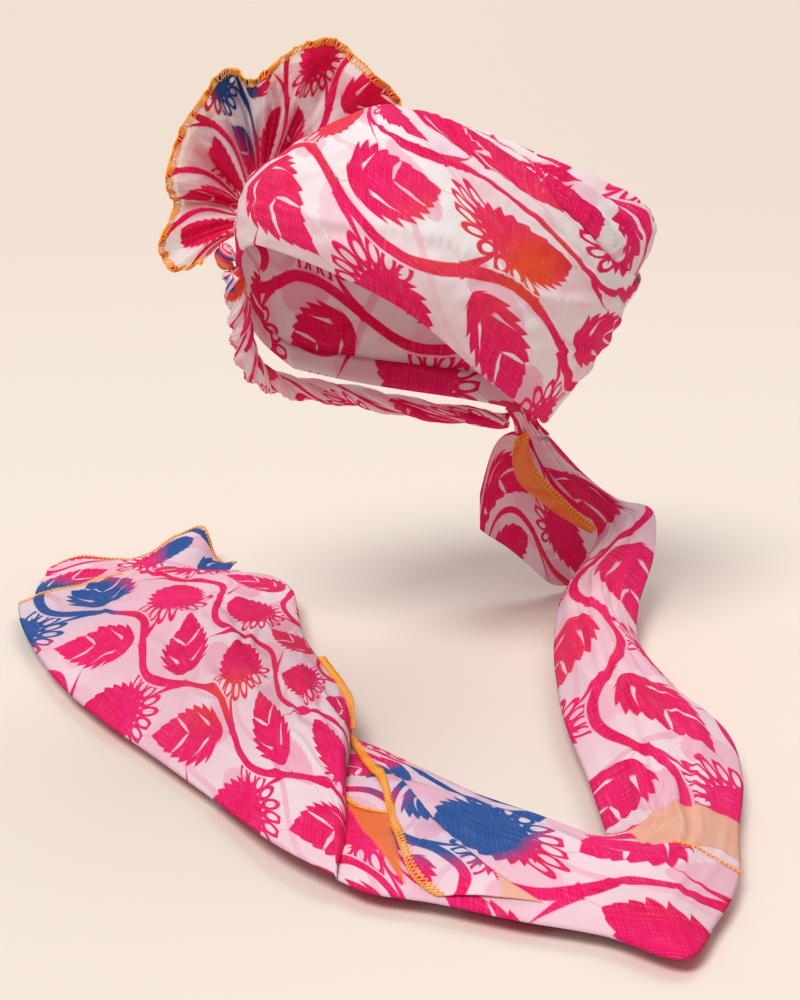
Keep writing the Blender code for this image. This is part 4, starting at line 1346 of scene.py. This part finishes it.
def twist_rings(steps, around):
    """Rings along the path: radius taper + depth (2 |cos(lobes (angle - spin) / 2)| - 1.2),
    and eleven fine creases of 0.35 mm."""
    places = np.linspace(0.0, 1.0, steps)
    path = along_rows(TWIST_PATH, places)
    middle = crown_points(path[:, 0], path[:, 1], path[:, 2])
    forward = unit(np.gradient(middle, axis=0))
    outward = middle * (1.0, 1.0, 0.0)
    outward = unit(outward - (outward * forward).sum(1, keepdims=True) * forward)
    other = np.cross(forward, outward)
    angle = np.linspace(0.0, 2 * np.pi, around)[None, :]
    spin = 2 * np.pi * TWIST_TURNS * places[:, None]
    taper = 0.55 + 0.45 * np.sin(np.pi * np.clip(places * 0.9 + 0.1, 0, 1)) ** 0.5
    swing = TWIST_LOBES * (angle - spin)
    radius = TWIST_RADIUS * taper[:, None] + TWIST_LOBE_DEPTH * (np.abs(np.cos(swing / 2)) * 2 - 1.2)
    radius = radius + 0.00035 * np.cos(11 * (angle - spin * 1.2))
    ring = np.cos(angle)[..., None] * outward[:, None] * radius[..., None]
    ring = ring + np.sin(angle)[..., None] * other[:, None] * radius[..., None]
    return middle[:, None] + ring, places, angle


def close_ends(grid):
    """Adds the middle of the first and last ring as poles."""
    first = np.broadcast_to(grid[:1, :-1].mean(axis=1, keepdims=True), grid[:1].shape)
    last = np.broadcast_to(grid[-1:, :-1].mean(axis=1, keepdims=True), grid[-1:].shape)
    return np.concatenate([first, grid, last], axis=0)


class TURBAN_OT_roll(bpy.types.Operator):
    """Makes the knot, the twisted roll and the pinched bundle at the nape."""

    bl_idname = "turban.roll"
    bl_label = "Knot, roll and nape"

    def execute(self, context):
        rings, places, angle = twist_rings(*TWIST_STEPS)
        grid = close_ends(rings)
        places = np.concatenate([[0.0], places, [1.0]])
        lean = (angle - 2 * np.pi * TWIST_TURNS * places[:, None]) * TWIST_CUT[1]
        cut = (places[:, None] * TWIST_CUT[0] + lean * 0.4, lean + 0.03)
        dye = np.zeros((*grid.shape[:2], 3))
        dye[..., 0] = 0.9 * np.exp(-(((places[:, None] - 0.03) / 0.03) ** 2)) * (np.cos(angle) > 0)
        dye[..., 1] = 0.9 * np.exp(-(((places[:, None] - 0.08) / 0.05) ** 2))
        wind("twisted_roll", grid, cut, dye, "crown", "side_twist")

        middle = stage_points(*KNOT_MIDDLE)
        share = np.linspace(0.02, 0.98, KNOT_STEPS[0])[:, None]
        angle = np.linspace(0.0, 2 * np.pi, KNOT_STEPS[1])[None, :]
        tall = -np.cos(np.pi * share) * KNOT_HALF_WIDE
        radius = np.sin(np.pi * share) ** 0.7 * KNOT_HALF_TALL
        wraps = np.abs(np.cos(np.pi * KNOT_WRAPS * share + angle / 2)) * 2 - 1
        radius = radius + KNOT_WRAP_DEPTH * np.sin(np.pi * share) * wraps
        x = tall * 0.5 + radius * np.cos(angle) * 0.8
        y = -tall * 0.2 + radius * np.sin(angle) * 0.8
        z = tall * 0.8 - radius * np.cos(angle) * 0.5
        grid = close_ends(middle + np.stack([x, y, z], axis=-1))
        share = np.concatenate([[[0.0]], share, [[1.0]]], axis=0)
        turned = angle + 2 * np.pi * KNOT_WRAPS * share
        dye = np.zeros((*grid.shape[:2], 3))
        edge = np.where(np.abs(share - 0.36) < 0.12, 0.0, 1.0) + 0.0 * angle
        dye[..., 0] = np.clip(1.0 - np.abs(share - 0.62) * 9.0, 0.0, 1.0)
        cut = (share * 0.05 + 0.012 + 0.0 * angle, turned * 0.006)
        wind("ruffle_knot", grid, cut, dye, "crown", "fan_knot", edge)

        places = np.linspace(0.0, 1.0, GATHER_STEPS[0])
        rows = along_rows(GATHER_SECTIONS, places)
        middle = stage_points(rows[:, 1], rows[:, 2], rows[:, 3])
        angle = np.linspace(0.0, 2 * np.pi, GATHER_STEPS[1])[None, :]
        swing = GATHER_PLEATS * angle + 1.5 * places[:, None]
        radius = rows[:, 4:5] + GATHER_PLEAT_DEPTH * (np.abs(np.cos(swing)) * 2 - 1)
        ring = np.stack(
            [radius * np.cos(angle), radius * np.sin(angle) * 0.7, 0.0 * radius], axis=-1
        )
        grid = close_ends(middle[:, None] + ring)
        places = np.concatenate([[0.0], places, [1.0]])[:, None]
        cut = (places * 0.02 + 0.2 + 0.0 * angle, angle * 0.011 + 0.0 * places)
        wind("nape_bundle", grid, cut, None, "voile", "nape_gather")
        return {"FINISHED"}


def fold_columns(columns):
    """Places across a folded strip: evenly over its top, then evenly under it."""
    over = np.linspace(0.0, FOLD_SHARE, columns[0])
    return np.concatenate([over, np.linspace(FOLD_SHARE, 1.0, columns[1])[1:]])


def folded_strip(rows, places, across, crease):
    """Strip folded double, swelled by sin(pi over)^0.8 and by long folds and creases."""
    values = along_rows(rows, places)
    left = stage_points(values[:, 0], values[:, 1], values[:, 2])
    right = stage_points(values[:, 3], values[:, 4], values[:, 5])
    swell = values[:, 6]
    width = right - left
    along = np.gradient((left + right) / 2, axis=0)
    normal = unit(np.cross(width, along))
    normal *= np.sign(normal[:, 2:3] + 0.35 * normal[:, 0:1] - 0.35 * normal[:, 1:2])
    over = np.clip(across / FOLD_SHARE, 0.0, 1.0)
    back = np.clip((across - FOLD_SHARE) / (1.0 - FOLD_SHARE), 0.0, 1.0)
    stretch = np.where(across <= FOLD_SHARE, over, 1.0 - back * (1.0 - UNDER_STOP))
    hump = np.sin(np.pi * over) ** 0.8
    lift = swell[:, None] * hump[None, :]
    for where, height, half, waves in TAIL_FOLDS:
        drift = 0.05 * np.sin(2 * np.pi * waves * places + 9.0 * where)
        far = (over[None, :] - where - drift[:, None]) / half
        size = np.minimum(height, swell * 0.4)[:, None]
        lift = lift + size * np.exp(-(far ** 2)) * hump[None, :]
    for where, height, half, waves in TAIL_CREASES:
        drift = 0.035 * np.sin(2 * np.pi * waves * places + 23.0 * where)
        drift += 0.02 * np.sin(2 * np.pi * waves * 2.3 * places + 11.0 * where)
        fade = 0.55 + 0.45 * np.sin(2 * np.pi * waves * 1.4 * places + 31.0 * where)
        far = (over[None, :] - where - drift[:, None]) / half
        size = crease * np.minimum(height, swell * 0.2)[:, None] * fade[:, None]
        lift = lift + size * np.exp(-(far ** 2)) * hump[None, :]
    under = FOLD_GAP * np.clip(back * 5.0, 0.0, 1.0) ** 0.6
    offset = np.where(across[None, :] <= FOLD_SHARE, lift, -under[None, :])
    base = left[:, None] + width[:, None] * stretch[None, :, None]
    return base + normal[:, None] * offset[..., None]


def print_lengths(grid):
    """Lengths of the print, not of the cloth: along the strip the way toward the viewer
    counts only by a share, so motifs are drawn longer there, to look like the photo's."""
    _, wide = cloth_lengths(grid)
    plan = stage_plan(grid)
    seen = np.stack([plan[..., 0], plan[..., 1] * NEAR_SHARE, grid[..., 2]], axis=-1)
    length, _ = cloth_lengths(seen)
    return length, wide


def roll_start(grid, across):
    """Rolls the first edge down in a quarter round, flatter where it meets the floor part.

    Each added row: edge + forward r sin(a) - up d (1 - cos(a)), a from 105 to 0 degrees.
    """
    first = grid[0]
    forward = (first - grid[6]) * (1.0, 1.0, 0.0)
    forward = unit(forward.mean(axis=0))
    reach = np.interp(across, (0.0, 0.27, 0.48, 0.57, 0.65), (0.009, 0.009, 0.011, 0.002, 0.0003))
    drop = np.interp(across, (0.0, 0.27, 0.48, 0.57, 0.65), (0.010, 0.009, 0.009, 0.002, 0.0003))
    angle = np.radians(np.linspace(105.0, 0.0, 15)[:-1])[:, None]
    out = (reach * np.sin(angle))[..., None] * forward
    down = (drop * (1.0 - np.cos(angle)))[..., None] * np.array((0.0, 0.0, 1.0))
    return np.concatenate([first + out - down, grid], axis=0)


class TURBAN_OT_tail(bpy.types.Operator):
    """Makes the long tail and its spread end."""

    bl_idname = "turban.tail"
    bl_label = "Tail"

    def execute(self, context):
        sizes = context.scene.turban_sizes
        steps = context.scene.turban_stage.detail
        across = fold_columns(RUN_COLUMNS)
        top = RUN_COLUMNS[0]
        places = np.linspace(0.0, 1.0, steps)
        run_grid = folded_strip(TAIL_RUN, places, across, RUN_CREASE)
        length, wide = print_lengths(folded_strip(TAIL_RUN, places, across, 0.0))
        dye = dye_of(run_grid)
        plan = stage_plan(run_grid)
        orange, peach = patch_depth(plan, ORANGE_BAND), patch_depth(plan, PEACH_BAND)
        edge = sizes.border - np.maximum(orange, peach)
        edge[:FLOOR_ROW] = 1.0
        edge[:, top + 2 :] = 1.0
        dye[..., 2] = np.clip(peach * 400.0 + 0.5, 0.0, 1.0) * 0.75
        cut = (length * TAIL_PRINT + RUN_START[0], wide * TAIL_PRINT + RUN_START[1])
        run = sew("tail_length", run_grid, cut, dye, sizes.wall, "voile", "tail_run", edge)
        upward = np.zeros((SEAM_STEPS, 3))
        upward[:, 2] = 1.0
        for name, corners, row in (("band", BAND_SEAM, BAND_ROW), ("corner", CORNER_SEAM, FLOOR_ROW)):
            flat = along_rows(corners, np.linspace(0.0, 1.0, SEAM_STEPS))
            line = stage_points(flat[:, 0], flat[:, 1], 0.0 * flat[:, 0])
            height = Relief(run_grid[row:, :top]).at(flat)
            known, steps_in = height > -CROWN_ABOVE_FLOOR, np.arange(SEAM_STEPS)
            line[:, 2] = np.interp(steps_in, steps_in[known], height[known])
            inward = np.cross(np.gradient(line, axis=0), upward)
            name = name + "_seam"
            hem_thread(name, line, inward, upward, sizes, SEAM_LIFT, SEAM_WIDTH)

        places = np.linspace(0.0, 1.0, steps // 2)
        across = fold_columns(END_COLUMNS)
        top = END_COLUMNS[0]
        grid = roll_start(folded_strip(TAIL_END, places, across, END_CREASE), across)
        flat = roll_start(folded_strip(TAIL_END, places, across, 0.0), across)
        length, wide = cloth_lengths(flat)
        wide = wide - wide[:, 40:41]
        cut = (length * TAIL_PRINT + END_START[0], wide * TAIL_PRINT + END_START[1])
        end = sew("tail_spread_end", grid, cut, dye_of(grid), sizes.wall, "voile", "tail_end")
        STUFF["relief"] = Relief(run_grid[FLOOR_ROW:, : RUN_COLUMNS[0]])
        last = grid[-1, :top]
        inward = grid[-3, :top] - last
        normal = grid_normals(grid)[-2, :top]
        normal = normal * np.sign(normal[:, 2:3])
        hem = hem_thread("spread_end_hem", last, inward, normal, sizes, HEM_LIFT)
        bridge = np.array(JOINT_HEM)
        bridge = stage_points(bridge[:, 0], bridge[:, 1], bridge[:, 2])
        line = np.concatenate([grid[68:14:-13, 0], bridge])
        line = along_rows(line, np.linspace(0.0, 1.0, JOINT_STEPS))
        aside = np.broadcast_to(stage_points(1.0, 0.0, CROWN_ABOVE_FLOOR), line.shape)
        upward = np.zeros_like(line)
        upward[:, 2] = 1.0
        joint = hem_thread("joint_hem", line, aside, upward, sizes, JOINT_LIFT)
        flat = FLAT_SIZES["tail_length"]
        flat = FLAT_SIZES["tail_spread_end"]
        return {"FINISHED"}


def strip_between(rows, steps_long, steps_wide, hump):
    """Straight lines between a table's two edges, raised by hump sin(pi wide)."""
    values = along_rows(rows, np.linspace(0.0, 1.0, steps_long))
    wide = np.linspace(0.0, 1.0, steps_wide)[None, :, None]
    place = values[:, None, 0:3] + (values[:, None, 3:6] - values[:, None, 0:3]) * wide
    place[..., 2] += hump * np.sin(np.pi * wide[..., 0])
    return stage_points(place[..., 0], place[..., 1], place[..., 2])


class TURBAN_OT_flaps(bpy.types.Operator):
    """Makes the tail's under layer, its turned-over borders and their hems."""

    bl_idname = "turban.flaps"
    bl_label = "Tail flaps"

    def execute(self, context):
        rows = along_rows(UNDER_LAYER, np.linspace(0.0, 1.0, UNDER_STEPS[0]))
        down = np.linspace(0.0, 1.0, UNDER_STEPS[1])[None, :]
        up = rows[:, 1:2] + (rows[:, 3:4] - rows[:, 1:2]) * down
        near = rows[:, 2:3] + (rows[:, 4:5] - rows[:, 2:3]) * down
        near = near - UNDER_WAVE * down * np.sin(rows[:, 0:1] * UNDER_WAVES + down)
        side = np.broadcast_to(rows[:, 0:1], up.shape)
        grid = stage_points(side, np.broadcast_to(near, up.shape), up)
        self.flap("tail_back_layer", grid, "tail_under_layer", [])

        rows = along_rows(BORDER_FLAP, np.linspace(0.0, 1.0, BORDER_STEPS[0]))
        wide = np.linspace(0.0, 1.0, BORDER_STEPS[1])[None, :]
        side = rows[:, 0:1] + (rows[:, 2:3] - rows[:, 0:1]) * wide
        up = rows[:, 1:2] + (rows[:, 3:4] - rows[:, 1:2]) * wide
        near = rows[:, 4:5] + 0.002 * np.sin(np.pi * wide)
        grid = stage_points(side, near, up)
        self.flap("border_turn", grid, "tail_border_flap", [0, -1], border=True)

        grid = strip_between(CROSS_FLAP, *CROSS_STEPS, 0.001)
        under = STUFF["relief"].at(stage_plan(grid))
        wide = np.linspace(0.0, 1.0, CROSS_STEPS[1])[None, :]
        lift = 0.0012 + 0.0030 * np.sin(np.pi * np.clip(wide * 0.9 + 0.05, 0.0, 1.0)) * (1.0 - wide)
        lift = lift - 0.0012 * np.clip(wide * 12.0 - 11.0, 0.0, 1.0)
        known = np.abs(under - grid[..., 2]) < 0.02
        grid[..., 2] = np.where(known, under + lift, grid[..., 2])
        corner = np.linspace(0.0, 1.0, CROSS_STEPS[0])[:, None] * 2.2 + wide - 2.75
        self.flap("cross_turn", grid, "tail_cross_flap", [0], corner)

        grid = strip_between(END_FOLD, *END_FOLD_STEPS, END_FOLD_HUMP)
        out = np.linspace(0.0, 1.0, END_FOLD_STEPS[1])[None, :]
        slack = ripple(grid[..., 0], grid[..., 1] * 0.6, 5, 7, 0.012, 0.035)
        grid[..., 2] += 0.0016 * out * (slack + 1.0)
        self.flap("end_crumple", grid, "tail_end_fold", [-1])
        return {"FINISHED"}

    @staticmethod
    def flap(name, grid, node, hems, peach=None, border=False):
        """One flap with thread along the named columns of its grid; peach is over zero
        where a pale band shows, and border makes all of it orange."""
        sizes = bpy.context.scene.turban_sizes
        length, across = cloth_lengths(grid)
        edge = np.full(grid.shape[:2], 0.0 if border else 1.0)
        dye = dye_of(grid)
        if peach is not None:
            edge = np.where(peach > 0.0, 0.0, 1.0)
            dye[..., 2] = edge * -0.75 + 0.75
        cut = (length + FLAP_START[0], across + FLAP_START[1])
        piece = sew(name, grid, cut, dye, sizes.wall, "voile", node, edge)
        normal = grid_normals(grid)
        threads = []
        for column in hems:
            inner = grid[:, 2 if column == 0 else -3] - grid[:, column]
            upward = normal[:, column] * np.where(normal[:, column, 2:3] < 0, -1.0, 1.0)
            thread = hem_thread(
                f"{name}_hem{len(threads)}", grid[:, column], inner, upward, sizes, HEM_LIFT
            )
            threads.append(thread)


class TURBAN_OT_stage(bpy.types.Operator):
    """Makes the floor, the soft studio light and the camera."""

    bl_idname = "turban.stage"
    bl_label = "Stage"

    def execute(self, context):
        scene = context.scene
        stage = scene.turban_stage
        reach = stage.reach
        ground = np.array([[-reach, -reach], [reach, -reach], [reach, reach], [-reach, reach]])
        mesh = bpy.data.meshes.new("floor")
        mesh.from_pydata(
            [(x, y, -CROWN_ABOVE_FLOOR) for x, y in ground], [], [(0, 1, 2, 3)]
        )
        floor = stand("floor", mesh)
        # Painted shade: the floor's colour darkens toward far, the other way from near, and toward
        # side
        kit = Kit("pale floor")
        place = kit.node("ShaderNodeTexCoord", {}, {}, output=3)
        x, y, _ = kit.split("ShaderNodeSeparateXYZ", place)
        far = ((y - x) * 0.45 - 0.20).least(1.0).most(0.0)
        right = ((x + y) * 0.5).least(1.0).most(0.0)
        shade = tuple(part * fade for part, fade in zip(stage.floor, FLOOR_PAINTED_SHADE))
        colour = kit.mix(far * 0.85 + right * 0.35, stage.floor, shade)
        floor.data.materials.append(kit.close(kit.surface(colour, 0.9)))
        world = bpy.data.worlds.new("even light")
        world.use_nodes = True
        sky = world.node_tree.nodes["Background"]
        sky.inputs[0].default_value = SKY_TINT
        sky.inputs[1].default_value = stage.sky
        scene.world = world
        for name, power, spread, tilt, turn in (
            ("soft key", stage.key, 26.0, 37.0, 22.0),
            ("light through the ruffle", stage.back, 40.0, -42.0, 20.0),
        ):
            light = bpy.data.lights.new(name, "SUN")
            light.energy = power
            light.angle = math.radians(spread)
            light.color = SUN_TINT
            lamp = stand(name, light)
            lamp.rotation_euler = (math.radians(tilt), 0.0, math.radians(turn))
        eye = bpy.data.cameras.new("camera")
        eye.lens = CAMERA_LENS
        eye.sensor_width = CAMERA_SENSOR
        eye.clip_end = CAMERA_REACH
        camera = stand("camera", eye)
        camera.location = CAMERA_PLACE
        camera.rotation_euler = (math.radians(CAMERA_PITCH), 0.0, math.radians(CAMERA_TURN))
        scene.camera = camera
        scene.view_settings.view_transform = "Standard"
        return {"FINISHED"}


class TURBAN_PT_panel(bpy.types.Panel):
    """Sizes, colours and steps of the turban in the 3D view's sidebar."""

    bl_idname = "TURBAN_PT_panel"
    bl_label = "Safa turban"
    bl_space_type = "VIEW_3D"
    bl_region_type = "UI"
    bl_category = "Turban"

    def draw(self, context):
        for group in ("turban_sizes", "turban_colours", "turban_stage"):
            settings = getattr(context.scene, group)
            box = self.layout.box()
            for name in settings.__annotations__:
                box.prop(settings, name)
        for operator in OPERATORS:
            self.layout.operator(operator.bl_idname)


OPERATORS = (
    TURBAN_OT_cloth,
    TURBAN_OT_crown,
    TURBAN_OT_ruffle,
    TURBAN_OT_roll,
    TURBAN_OT_tail,
    TURBAN_OT_flaps,
    TURBAN_OT_stage,
)
CLASSES = (TurbanSizes, TurbanColours, TurbanStage, *OPERATORS, TURBAN_PT_panel)


def register():
    """Registers the classes and hangs the sizes, colours and stage on the scene."""
    for kind in CLASSES:
        bpy.utils.register_class(kind)
    bpy.types.Scene.turban_sizes = PointerProperty(type=TurbanSizes)
    bpy.types.Scene.turban_colours = PointerProperty(type=TurbanColours)
    bpy.types.Scene.turban_stage = PointerProperty(type=TurbanStage)


def unregister():
    """Takes off what register adds, in the other order."""
    del bpy.types.Scene.turban_stage
    del bpy.types.Scene.turban_colours
    del bpy.types.Scene.turban_sizes
    for kind in reversed(CLASSES):
        bpy.utils.unregister_class(kind)


def main():
    """Makes the turban and its stage."""
    register()
    bpy.ops.turban.cloth()
    bpy.ops.turban.crown()
    bpy.ops.turban.ruffle()
    bpy.ops.turban.roll()
    bpy.ops.turban.tail()
    bpy.ops.turban.flaps()
    bpy.ops.turban.stage()


if __name__ == "__main__":
    main()
